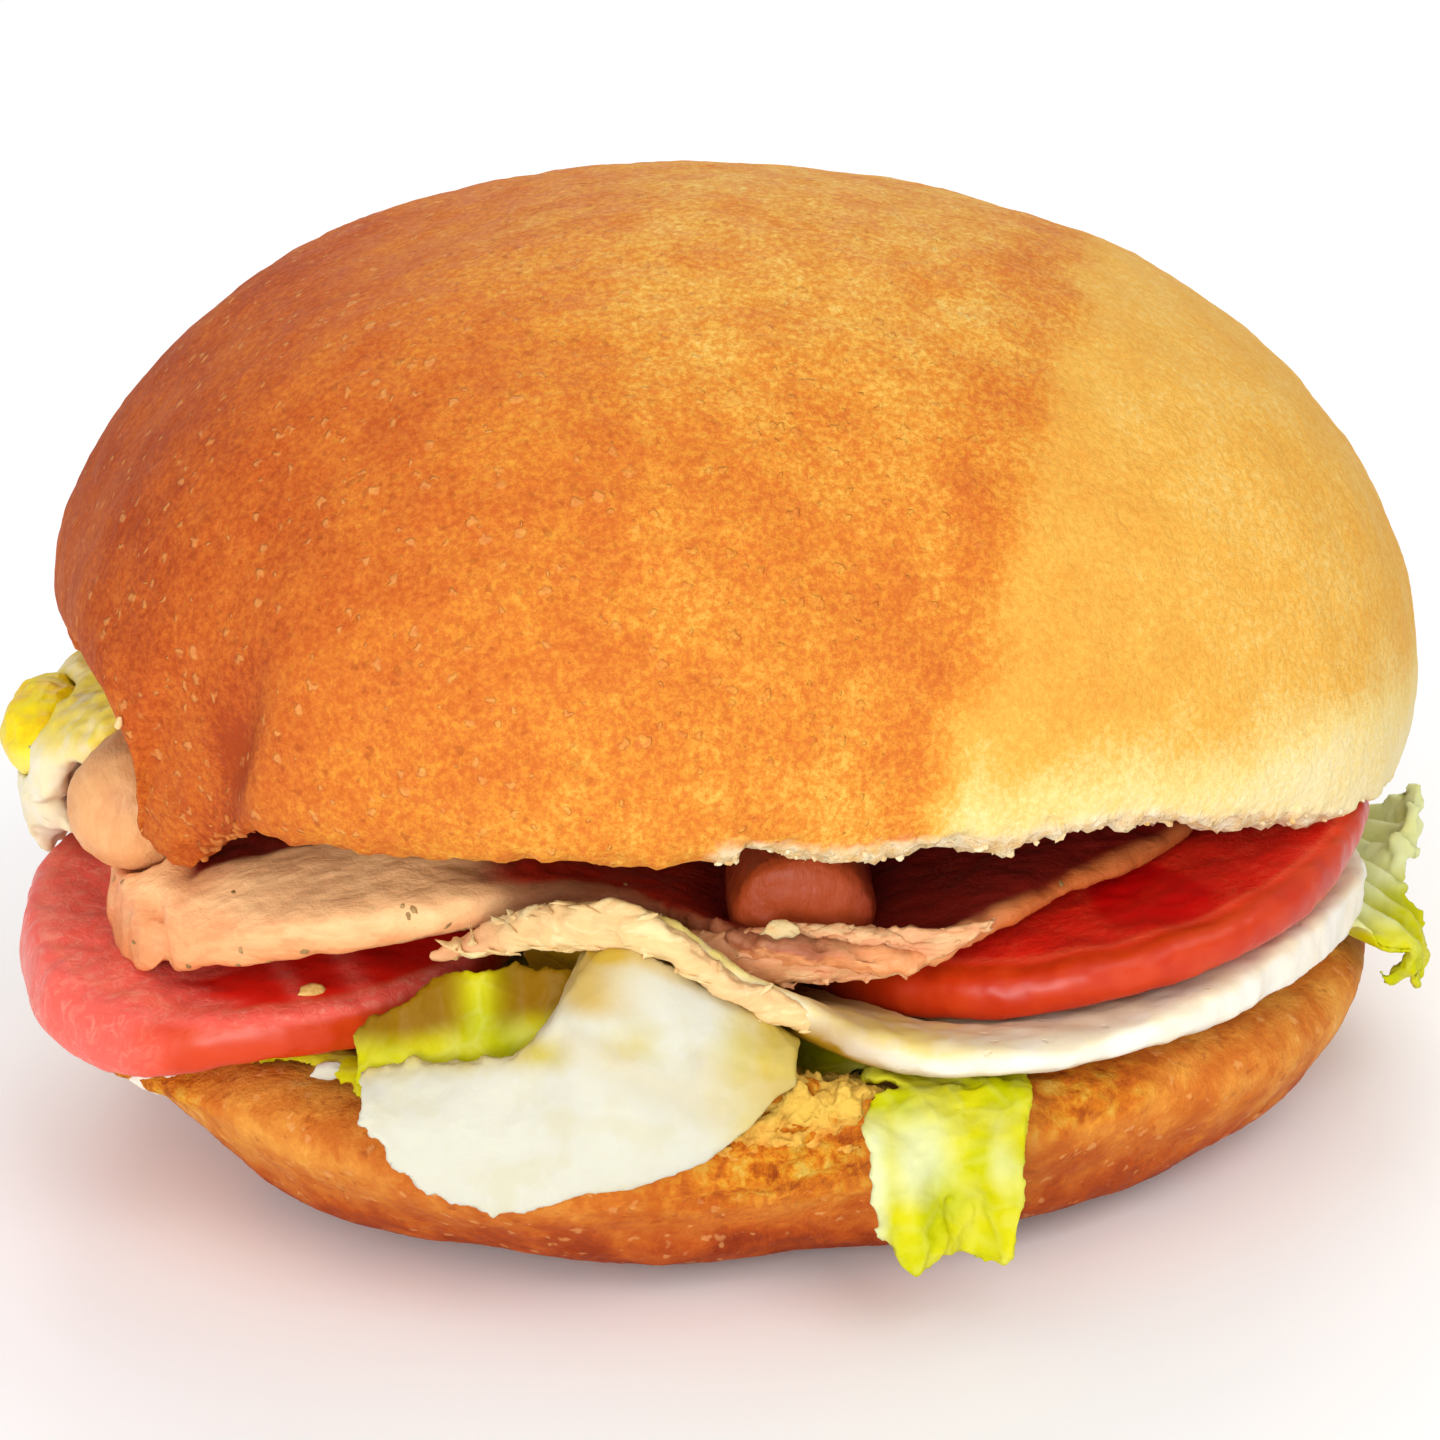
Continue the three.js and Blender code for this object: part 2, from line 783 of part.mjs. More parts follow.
// White lettuce at the front: a dome over the rib and a flap that hangs over the heel
const flapCrest = through([
  [-29.5, 23.2],
  [-24, 24],
  [-15, 24.9],
  [-12.2, 26.6],
  [-10.2, 30],
  [-7, 30.6],
  [-4, 29.3],
  [-0.5, 26],
  [2, 24.2],
  [5, 21.6],
]);
const flapHem = through([
  [-29.5, 19.4],
  [-27.4, 17.8],
  [-26.2, 13.4],
  [-22, 11.5],
  [-17.5, 10.9],
  [-12, 12.6],
  [-7.6, 13.6],
  [-1.4, 15],
  [1.8, 18.4],
  [5, 20.2],
]);

function makeFrontWhiteLeaf() {
  const start = -29.2;
  const width = 34;
  return sheetSolid({
    across: 17,
    along: 11,
    rim: 0.03,
    middle: (u, v) => {
      const x = start + width * u;
      const dome = ease(-13.5, -10, x);
      const crest = flapCrest(x);
      const hem = flapHem(x);
      const line = new THREE.CatmullRomCurve3([
        new THREE.Vector3(x, -48.6 + 7.6 * dome, crest - 0.4 - 0.9 * dome),
        new THREE.Vector3(x, -49.6 + 1.4 * dome, crest),
        new THREE.Vector3(x, -51.9 - 0.4 * dome, (crest + hem) / 2 + 1),
        new THREE.Vector3(x * 0.985, -54 + 0.035 * Math.abs(x + 10), hem),
      ]);
      const point = line.getPoint(v);
      point.y += 0.35 * uneven(x, 0, point.z, 9.5, 1.6) + 0.007 * (x + 8) ** 2;
      return point;
    },
    thickness: (u, v) => ribThickness * (1 - 0.3 * ease(0.6, 1, v)),
  });
}

// Green lettuce that stands behind the white flap
function makeFrontGreenLeaf() {
  const start = -29.6;
  const width = 19.4;
  const foot = 18.9;
  const top = through([
    [-29.5, 21.8],
    [-27.6, 23.6],
    [-23, 26.3],
    [-19.5, 27.4],
    [-15, 27],
    [-10.5, 27.4],
  ]);
  return sheetSolid({
    across: 13,
    along: 7,
    middle: (u, v) => {
      const x = start + width * u;
      const z = foot + (top(x) - foot) * v;
      const fold = 0.9 * Math.sin(1.05 * x) * (0.4 + 0.6 * v);
      return new THREE.Vector3(x, -46.3 + 3 * v + 0.3 * fold * v + 0.8 * fold, z);
    },
    thickness: () => leafThickness,
  });
}

// Lettuce tongue that hangs over the front of the heel from under the egg
function makeTongueLeaf() {
  const leftEdge = through([
    [0, 9.6],
    [0.45, 9.8],
    [0.75, 10.6],
    [1, 9.8],
  ]);
  const rightEdge = through([
    [0, 22.6],
    [0.5, 21.8],
    [0.85, 20.5],
    [1, 19.7],
  ]);
  const tip = through([
    [0, 10.2],
    [0.12, 9.2],
    [0.22, 7.2],
    [0.36, 6.4],
    [0.56, 7.4],
    [0.7, 7.4],
    [0.86, 6.4],
    [1, 9.4],
  ]);
  return sheetSolid({
    across: 12,
    along: 12,
    rim: 0.035,
    middle: (u, v) => {
      const drop = new THREE.CatmullRomCurve3([
        new THREE.Vector3(0, -44.5, 17.95),
        new THREE.Vector3(0, -50.6, 17.7),
        new THREE.Vector3(0, -54.4, 14.6),
        new THREE.Vector3(0, -55.6, 10),
        new THREE.Vector3(0, -56.4, tip(u)),
      ]);
      const point = drop.getPoint(v);
      point.x = leftEdge(v) + (rightEdge(v) - leftEdge(v)) * u;
      const free = ease(0.3, 0.75, v);
      point.y += free * (1.1 * Math.cos(7.2 * u + 1.2) - 0.9 * bell(u, 0.4, 0.16) * bell(v, 0.8, 0.14));
      return point;
    },
    thickness: (u, v) => leafThickness * (1.2 - 0.3 * v),
  });
}

// Lettuce frill at the right end; its edge hangs, rises and hangs again towards the back
function makeRightFrill() {
  const start = -22.5;
  const width = 36;
  const edgeX = through([
    [0, 54.2],
    [0.14, 58.8],
    [0.24, 59.8],
    [0.34, 58.4],
    [0.46, 62.6],
    [0.6, 63.4],
    [0.74, 62],
    [0.86, 59.6],
    [1, 57.5],
  ]);
  const edgeZ = through([
    [0, 13.4],
    [0.14, 11],
    [0.24, 13],
    [0.34, 17.4],
    [0.46, 22.4],
    [0.6, 22.2],
    [0.74, 18.8],
    [0.86, 14.8],
    [1, 13.4],
  ]);
  return sheetSolid({
    across: 20,
    along: 8,
    rim: 0.03,
    middle: (u, v) => {
      const y = start + width * u;
      const rising = ease(14, 21.5, edgeZ(u));
      const inner = new THREE.Vector3(50.5 - 0.012 * (y + 6) ** 2, y, 17.9);
      const over = new THREE.Vector3(55.9 - 0.006 * (y + 2) ** 2, y, 17.4 + 0.6 * rising);
      const bulge = new THREE.Vector3(58.4, y, 14.6 + 5.2 * rising);
      const edge = new THREE.Vector3(edgeX(u) - 2.2 * rising, y, edgeZ(u));
      bulge.x += 2.3 * rising;
      const line = new THREE.CatmullRomCurve3([inner, over, bulge, edge]);
      const point = line.getPoint(v);
      point.y += 1.1 * Math.sin(14 * u + 2 * v) * v;
      return point;
    },
    thickness: (u, v) => leafThickness * (1.15 - 0.25 * v),
  });
}

// Lettuce bed on the heel: its edge peeks out at the left front and is frilled at the back
function makeLeafBed() {
  const level = heel.topHeight + 1.15;
  const atBack = (angle) => {
    const degrees = THREE.MathUtils.radToDeg(angleFrom(0, angle));
    return ease(-4, 24, degrees) * (1 - ease(140, 172, degrees));
  };
  const reach = (angle) => {
    const peek = 5 * bell(angleFrom(THREE.MathUtils.degToRad(-143), angle), 0, 0.055);
    const tip = 3.4 * bell(angleFrom(THREE.MathUtils.degToRad(-123.5), angle), 0, 0.035);
    const frontIn = 3 * bell(angleFrom(-Math.PI / 2, angle), 0, 0.75);
    const spill = 6.6 + 1.5 * Math.sin(5 * angle + 0.8) + 0.8 * Math.sin(12 * angle);
    return outline(heel, angle) * 0.9 - frontIn + peek + tip + atBack(angle) * spill;
  };
  return discSheet({
    rings: 6,
    angles: sectorAngles(56, -0.3),
    middle: (share, angle) => {
      const radius = reach(angle) * share;
      const beyond = radius - outline(heel, angle);
      const ruffle = 1.3 * Math.sin(9 * angle + 0.4) + 0.8 * Math.sin(14 * angle + 1.1);
      const frill = atBack(angle) * (ruffle * ease(-2, 3, beyond) - 1.5 * ease(-0.5, 4, beyond));
      const droop = -1.6 * (1 - atBack(angle)) * ease(0.9, 1.02, share) * ease(50, 54, radius);
      const z = level + 0.12 * Math.sin(5 * angle) * share + frill + droop;
      return new THREE.Vector3(radius * Math.cos(angle), radius * Math.sin(angle), z);
    },
    thickness: () => leafThickness * 0.85,
  });
}

// Colours as the photograph shows them, with roughness
const finishes = {
  crust: [0xdd8a3c, 0.62],
  heelCrust: [0xc8702f, 0.66],
  rasher: [0xdfa57a, 0.5],
  sausage: [0xb9744f, 0.5],
  tomato: [0xd02a1c, 0.28],
  eggWhite: [0xfbf0d6, 0.4],
  yolk: [0xf6cf1c, 0.45],
  leafWhite: [0xf3f2dc, 0.45],
  leafGreen: [0xc8d64a, 0.45],
};

function dressed(name, solid, [colour, roughness]) {
  const geometry = toGeometry(solid);
  geometry.computeVertexNormals();
  const mesh = new THREE.Mesh(geometry, new THREE.MeshStandardMaterial({ color: colour, roughness, metalness: 0 }));
  mesh.name = name;
  return mesh;
}

// Firm pieces first: each later piece gives way to those that it touches
const pieces = [
  ["sausage_middle", makeSausage(middleSausage), finishes.sausage],
  ["sausage_left", makeSausage(leftSausage), finishes.sausage],
  ["tomato_right", makeTomato(rightSlice), finishes.tomato],
  ["tomato_left", makeTomato(leftSlice), finishes.tomato],
  ["tomato_back", makeTomato(backSlice), finishes.tomato],
  ["egg_left_yolk", makeYolk(), finishes.yolk],
  ["heel", makeHeel(), finishes.heelCrust],
  ["crown", makeCrown(), finishes.crust],
  ["rasher_front", makeRasher(), finishes.rasher],
  ["rasher_back", makeBackRasher(), finishes.rasher],
  ["egg_white", makeEggWhite(), finishes.eggWhite],
  ["egg_left_white", makeLeftEggWhite(), finishes.eggWhite],
  ["lettuce_flap", makeFrontWhiteLeaf(), finishes.leafWhite],
  ["lettuce_fold", makeFrontGreenLeaf(), finishes.leafGreen],
  ["lettuce_tongue", makeTongueLeaf(), finishes.leafGreen],
  ["lettuce_frill", makeRightFrill(), finishes.leafGreen],
  ["lettuce_bed", makeLeafBed(), finishes.leafGreen],
];

const roll = new THREE.Group();
const settled = [];
for (const [name, geometry, finish] of pieces) {
  const solid = pressed(toSolid(geometry), settled);
  settled.push({ outer: grown(solid, clearance) });
  roll.add(dressed(name, solid, finish));
}

// The origin is the middle of the roll's footprint, on the surface that it stands on
const box = new THREE.Box3().setFromObject(roll);
const middle = box.getCenter(new THREE.Vector3());
roll.position.set(-middle.x, -middle.y, -box.min.z);

export default roll;
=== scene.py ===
"""Breakfast roll: a soft round roll filled with lettuce, fried egg, tomato, back bacon and sausages.

The solids give every piece its size and place. This script gives each of them its fine form
and its finish, adds the small things that lie on them, and sets the light and the camera.
Lengths are in millimetres, colours are as seen in the studio's light, from 0 to 255.
"""

import logging
import math
from dataclasses import dataclass, field
from enum import Enum
from typing import Callable

import bpy
import numpy as np
from mathutils import Euler, Matrix, Vector


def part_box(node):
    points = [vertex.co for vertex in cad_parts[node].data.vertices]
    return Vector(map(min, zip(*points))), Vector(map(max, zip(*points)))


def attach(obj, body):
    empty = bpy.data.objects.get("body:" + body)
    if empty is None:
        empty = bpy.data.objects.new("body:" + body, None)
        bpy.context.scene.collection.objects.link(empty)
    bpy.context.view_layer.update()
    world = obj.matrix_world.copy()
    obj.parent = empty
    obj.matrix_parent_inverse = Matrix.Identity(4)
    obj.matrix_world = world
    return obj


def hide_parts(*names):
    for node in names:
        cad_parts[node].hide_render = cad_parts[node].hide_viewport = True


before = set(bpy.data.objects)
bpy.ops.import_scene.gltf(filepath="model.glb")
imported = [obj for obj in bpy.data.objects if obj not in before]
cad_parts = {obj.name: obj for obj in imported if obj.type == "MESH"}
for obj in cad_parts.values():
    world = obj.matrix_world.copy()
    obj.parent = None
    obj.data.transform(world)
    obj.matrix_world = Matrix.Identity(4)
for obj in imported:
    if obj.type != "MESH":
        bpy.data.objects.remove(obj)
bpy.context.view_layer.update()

LOG = logging.getLogger("breakfast_roll")
MM = 0.001
BODY = "root"
LIGHT_GAIN = 1.2
MERGE_GAP = 0.001
MASK_STEPS = 24
SMALL_CHANCE = 1e-12
Triple = tuple[float, float, float]
Pair = tuple[float, float]


# Numbers and masks


def surface_colour(seen: Triple) -> tuple[float, ...]:
    """Finds the linear colour of a surface from the colour in which it is seen.

    Args:
        seen: Red, green and blue as seen, from 0 to 255.

    Returns:
        Linear red, green and blue, and alpha.
    """
    shares = [part / 255 for part in seen]
    linear = [s / 12.92 if s <= 0.04045 else ((s + 0.055) / 1.055) ** 2.4 for s in shares]
    return (*[part / LIGHT_GAIN for part in linear], 1.0)


def ease(start: float, end: float, values: np.ndarray) -> np.ndarray:
    """Eases from 0 at start to 1 at end.

    Args:
        start: Where the rise begins.
        end: Where it is complete; below start for a fall.
        values: Numbers to look up.

    Returns:
        The eased share of each number.
    """
    share = np.clip((values - start) / (end - start), 0, 1)
    return share * share * (3 - 2 * share)


def bell(values: np.ndarray, middle: float, width: float) -> np.ndarray:
    """Returns a bell of height 1 around a middle."""
    return np.exp(-(((values - middle) / width) ** 2))


def around(points: np.ndarray) -> tuple[np.ndarray, np.ndarray]:
    """Returns each point's direction from the roll's middle, in degrees from +X, and its distance."""
    return np.degrees(np.arctan2(points[:, 1], points[:, 0])), np.hypot(points[:, 0], points[:, 1])


def behind_front(points: np.ndarray, step: float = 2.0) -> np.ndarray:
    """Finds how far each point lies behind the foremost one at its place along X.

    Args:
        points: One point a row.
        step: Width of the strips along X in which the foremost point is looked up.

    Returns:
        One distance a point.
    """
    x, y = points[:, 0], points[:, 1]
    part = np.floor((x - x.min()) / step).astype(int)
    count = part.max() + 1
    front = np.array([y[part == p].min() if np.any(part == p) else np.nan for p in range(count)])
    middle = x.min() + (np.arange(count) + 0.5) * step
    known = ~np.isnan(front)
    return y - np.interp(x, middle[known], front[known])


def line_distance(points: np.ndarray, start: Pair, end: Pair) -> np.ndarray:
    """Finds how far each point is from a line, seen from the front.

    Args:
        points: One point a row.
        start: X and Z of the line's start.
        end: X and Z of its end.

    Returns:
        One distance a point.
    """
    base = np.array(start)
    along = np.array(end) - base
    flat = points[:, [0, 2]] - base
    share = np.clip(flat @ along / (along @ along), 0, 1)
    return np.linalg.norm(flat - share[:, None] * along, axis=1)


# Modelling steps


def pick(*pieces: bpy.types.Object) -> None:
    """Selects these pieces alone; the first becomes the active one.

    Args:
        pieces: What the next operator works on.
    """
    if bpy.context.object and bpy.context.object.mode != "OBJECT":
        bpy.ops.object.mode_set(mode="OBJECT")
    bpy.ops.object.select_all(action="DESELECT")
    for piece in pieces:
        piece.select_set(True)
    bpy.context.view_layer.objects.active = pieces[0]


def finish_with(piece: bpy.types.Object, kind: str, **settings: object) -> None:
    """Adds one modifier and applies it.

    Args:
        piece: The piece to change.
        kind: The modifier's type.
        settings: Its settings by name.
    """
    pick(piece)
    modifier = piece.modifiers.new(kind.lower(), kind)
    for name, value in settings.items():
        setattr(modifier, name, value)
    bpy.ops.object.modifier_apply(modifier=modifier.name)


def copy_mesh(source: bpy.types.Object, name: str) -> bpy.types.Object:
    """Copies an object and its mesh into the scene.

    Args:
        source: What is copied.
        name: Name of the copy.

    Returns:
        The copy.
    """
    piece = bpy.data.objects.new(name, source.data.copy())
    bpy.context.scene.collection.objects.link(piece)
    return piece


def node_copy(node: str, name: str) -> bpy.types.Object:
    """Copies a solid, merges its loose corners and turns its triangles back into quads.

    Args:
        node: The solid's node.
        name: Name of the new piece.

    Returns:
        The copy, with a mesh of its own.
    """
    piece = copy_mesh(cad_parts[node], name)
    piece.data.materials.clear()
    pick(piece)
    bpy.ops.object.mode_set(mode="EDIT")
    bpy.ops.mesh.select_all(action="SELECT")
    bpy.ops.mesh.remove_doubles(threshold=MERGE_GAP * MM)
    bpy.ops.mesh.tris_convert_to_quads(face_threshold=0.7, shape_threshold=0.9)
    bpy.ops.object.mode_set(mode="OBJECT")
    bpy.ops.mesh.customdata_custom_splitnormals_clear()
    return piece


def melt(piece: bpy.types.Object, voxel: float, rounds: int) -> None:
    """Gives a piece an even fine mesh, in which parts that touch run together.

    Args:
        piece: The piece to change.
        voxel: Size of the fine mesh's faces.
        rounds: How often the fine mesh is smoothed.
    """
    finish_with(piece, "REMESH", mode="VOXEL", voxel_size=voxel * MM, use_smooth_shade=True)
    finish_with(piece, "SMOOTH", factor=0.5, iterations=rounds)


def refine(piece: bpy.types.Object, voxel: float, rounds: int) -> None:
    """Rounds the facets off and gives the piece an even fine mesh.

    Args:
        piece: The piece to refine.
        voxel: Size of the fine mesh's faces.
        rounds: How often the fine mesh is smoothed.
    """
    finish_with(piece, "SUBSURF", levels=2, render_levels=2)
    melt(piece, voxel, rounds)


def points_of(piece: bpy.types.Object) -> np.ndarray:
    """Reads the corners of a piece.

    Args:
        piece: The piece.

    Returns:
        One corner a row, in millimetres.
    """
    flat = np.empty(len(piece.data.vertices) * 3, np.float32)
    piece.data.vertices.foreach_get("co", flat)
    return flat.reshape(-1, 3).astype(float) / MM


def move_points(piece: bpy.types.Object, points: np.ndarray) -> None:
    """Puts the corners of a piece at these points, in millimetres."""
    piece.data.vertices.foreach_set("co", (points * MM).astype(np.float32).ravel())
    piece.data.update()


def normals_of(piece: bpy.types.Object) -> np.ndarray:
    """Reads the normals at the corners of a piece.

    Args:
        piece: The piece.

    Returns:
        One normal a row.
    """
    flat = np.empty(len(piece.data.vertices) * 3, np.float32)
    piece.data.vertex_normals.foreach_get("vector", flat)
    return flat.reshape(-1, 3).astype(float)


def paint(piece: bpy.types.Object, masks: dict[str, np.ndarray]) -> None:
    """Stores numbers for each corner, which the finish reads by name.

    Args:
        piece: The piece to paint.
        masks: One number a corner, by the attribute's name.
    """
    for name, values in masks.items():
        layer = piece.data.attributes.new(name, "FLOAT", "POINT")
        layer.data.foreach_set("value", np.asarray(values, np.float32))


class Push(Enum):
    """Ways in which a relief moves a surface."""

    OUTWARDS = "NORMAL"
    UPWARDS = "Z"
    BENDING = "RGB_TO_XYZ"


@dataclass(frozen=True)
class Relief:
    """Uneven soft relief of one size, pressed into a surface.

    Attributes:
        size: Size of its bumps.
        height: Its whole height.
        push: Which way it moves the surface.
        stretch: How much longer the bumps are along X, Y and Z.
    """

    size: float
    height: float
    push: Push = Push.OUTWARDS
    stretch: Triple = (1.0, 1.0, 1.0)

    def press(self, piece: bpy.types.Object, mask: np.ndarray | None = None) -> None:
        """Presses the relief into a piece.

        Args:
            piece: The piece to change.
            mask: How strongly each corner takes it, from 0 to 1.
        """
        texture = bpy.data.textures.new("relief", "CLOUDS")
        texture.noise_scale = 1.0
        texture.noise_depth = 2
        texture.cloud_type = "COLOR" if self.push is Push.BENDING else "GRAYSCALE"
        holder = bpy.data.objects.new("relief_size", None)
        bpy.context.scene.collection.objects.link(holder)
        holder.scale = [self.size * MM * s for s in self.stretch]
        bpy.context.view_layer.update()
        finish_with(
            piece,
            "DISPLACE",
            texture=texture,
            texture_coords="OBJECT",
            texture_coords_object=holder,
            direction=self.push.value,
            strength=self.height * MM,
            mid_level=0.5,
            vertex_group="" if mask is None else weigh(piece, mask),
        )
        piece.vertex_groups.clear()
        bpy.data.objects.remove(holder)
        bpy.data.textures.remove(texture)


def weigh(piece: bpy.types.Object, mask: np.ndarray) -> str:
    """Stores a mask as a vertex group, in even steps.

    Args:
        piece: The piece to weigh.
        mask: A number from 0 to 1 for each corner.

    Returns:
        The group's name.
    """
    group = piece.vertex_groups.new(name="mask")
    level = np.round(np.clip(mask, 0, 1) * MASK_STEPS).astype(int)
    for step in range(1, MASK_STEPS + 1):
        chosen = np.nonzero(level == step)[0].tolist()
        if chosen:
            group.add(chosen, step / MASK_STEPS, "REPLACE")
    return group.name


# Shader graphs


class Value:
    """What a node puts out, with which a graph reckons as with a number."""

    def __init__(self, graph: "Graph", socket: bpy.types.NodeSocket) -> None:
        """Keeps the output and its graph."""
        self.graph = graph
        self.socket = socket

    def __add__(self, other: object) -> "Value":
        """Returns the sum."""
        return self.graph.calc("ADD", self, other)

    __radd__ = __add__

    def __mul__(self, other: object) -> "Value":
        """Returns the product."""
        return self.graph.calc("MULTIPLY", self, other)

    def __sub__(self, other: object) -> "Value":
        """Returns the difference."""
        return self.graph.calc("SUBTRACT", self, other)

    def __rsub__(self, other: object) -> "Value":
        """Returns the difference from a number."""
        return self.graph.calc("SUBTRACT", other, self)

    def __truediv__(self, other: object) -> "Value":
        """Returns the quotient."""
        return self.graph.calc("DIVIDE", self, other)

    def __rtruediv__(self, other: object) -> "Value":
        """Returns a number divided by this one."""
        return self.graph.calc("DIVIDE", other, self)

    def clamped(self) -> "Value":
        """Keeps the result of this sum between 0 and 1."""
        self.socket.node.use_clamp = True
        return self

    def beside(self, output: str) -> "Value":
        """Returns another output of the same node."""
        return Value(self.graph, self.socket.node.outputs[output])


class Graph:
    """Adds nodes to one shader tree and joins them up."""

    def __init__(self, tree: bpy.types.NodeTree) -> None:
        """Starts on an empty tree."""
        self.tree = tree
        tree.nodes.clear()

    def feed(self, socket: bpy.types.NodeSocket, value: object) -> None:
        """Links a value to a socket, or sets the socket's own number.

        Args:
            socket: The socket.
            value: A node's output, or a number or colour.
        """
        if isinstance(value, Value):
            self.tree.links.new(value.socket, socket)
        else:
            socket.default_value = value

    def add(
        self,
        kind: str,
        settings: dict[str, object] | None = None,
        sockets: dict[int, object] | None = None,
        output: int | str = 0,
        **inputs: object,
    ) -> Value:
        """Adds a node.

        Args:
            kind: The node's type, without its leading words ShaderNode.
            settings: The node's own settings.
            sockets: Values for sockets without a name of their own, by number.
            output: Which output is wanted.
            inputs: Values for its sockets, by name.

        Returns:
            The wanted output.
        """
        node = self.tree.nodes.new("ShaderNode" + kind)
        for name, value in (settings or {}).items():
            setattr(node, name, value)
        for place, value in (sockets or {}).items():
            self.feed(node.inputs[place], value)
        for name, value in inputs.items():
            self.feed(node.inputs[name.replace("_", " ")], value)
        return Value(self, node.outputs[output])

    def calc(self, operation: str, first: object, second: object) -> Value:
        """Returns the result of one sum."""
        return self.add("Math", {"operation": operation}, {0: first, 1: second})

    def vectors(self, operation: str, first: object, second: object, output: int | str = 0) -> Value:
        """Returns the result of one sum with vectors."""
        return self.add("VectorMath", {"operation": operation}, {0: first, 1: second}, output)

    def span(self, value: Value, low: object, high: object, first: float = 0.0, last: float = 1.0) -> Value:
        """Eases a value from one span of numbers to another.

        Args:
            value: The value.
            low: Where its span begins.
            high: Where its span ends.
            first: What the beginning becomes.
            last: What the end becomes.

        Returns:
            The eased value.
        """
        eased = {"interpolation_type": "SMOOTHSTEP"}
        spans = {"From_Min": low, "From_Max": high, "To_Min": first, "To_Max": last}
        return self.add("MapRange", eased, Value=value, **spans)

    def noise(
        self, where: Value, size: object, detail: float = 2.0, rough: float = 0.5, warp: float = 0.0
    ) -> Value:
        """Makes soft noise.

        Args:
            where: The places to look it up.
            size: Size of its bumps.
            detail: How many finer layers it has.
            rough: How strong these are.
            warp: How far it is drawn out of shape.

        Returns:
            The noise, around 0.5.
        """
        layers = {"Detail": detail, "Roughness": rough, "Distortion": warp}
        return self.add("TexNoise", Vector=where, Scale=1 / size, **layers)

    def bent(self, where: Value, scale: float, reach: object, detail: float = 0.0) -> Value:
        """Shifts places by soft noise.

        Args:
            where: The places.
            scale: Scale of the noise.
            reach: How far it shifts them.
            detail: How many finer layers the noise has.

        Returns:
            The shifted places.
        """
        noise = self.add("TexNoise", output="Color", Vector=where, Scale=scale, Detail=detail)
        shift = self.add("VectorMath", {"operation": "SCALE"}, {0: noise}, Scale=reach)
        return self.vectors("ADD", where, shift)

    def turn(self, share: Value, under: Value, over: Value) -> Value:
        """Returns a number that turns from one value into another as the share rises."""
        return self.add("Mix", {"data_type": "FLOAT"}, {0: share, 2: under, 3: over})

    def blend(self, share: object, under: Value | Triple, over: Value | Triple) -> Value:
        """Lays one colour over another.

        Args:
            share: How strongly it covers.
            under: The colour below.
            over: The colour on top.

        Returns:
            The blended colour.
        """
        both = [c if isinstance(c, Value) else surface_colour(c) for c in (under, over)]
        return self.add("Mix", {"data_type": "RGBA"}, {0: share, 6: both[0], 7: both[1]}, 2)

    def ramp(self, value: Value, stops: dict[float, Triple]) -> Value:
        """Picks a colour from a row of colours.

        Args:
            value: Where in the row, from 0 to 1.
            stops: The colours by their place.

        Returns:
            The colour.
        """
        colour = self.add("ValToRGB", Fac=value)
        row = colour.socket.node.color_ramp.elements
        while len(row) < len(stops):
            row.new(0.5)
        for element, (place, seen) in zip(row, stops.items()):
            element.position = place
            element.color = surface_colour(seen)
        return colour


class Effect(Enum):
    """Effects that several finishes share."""

    SLOPE = "Slope"
    SPOT = "Spot"
    SPECKS = "Specks"
    FLECKS = "Flecks"
    FIBRES = "Fibres"
    BLISTERS = "Blisters"


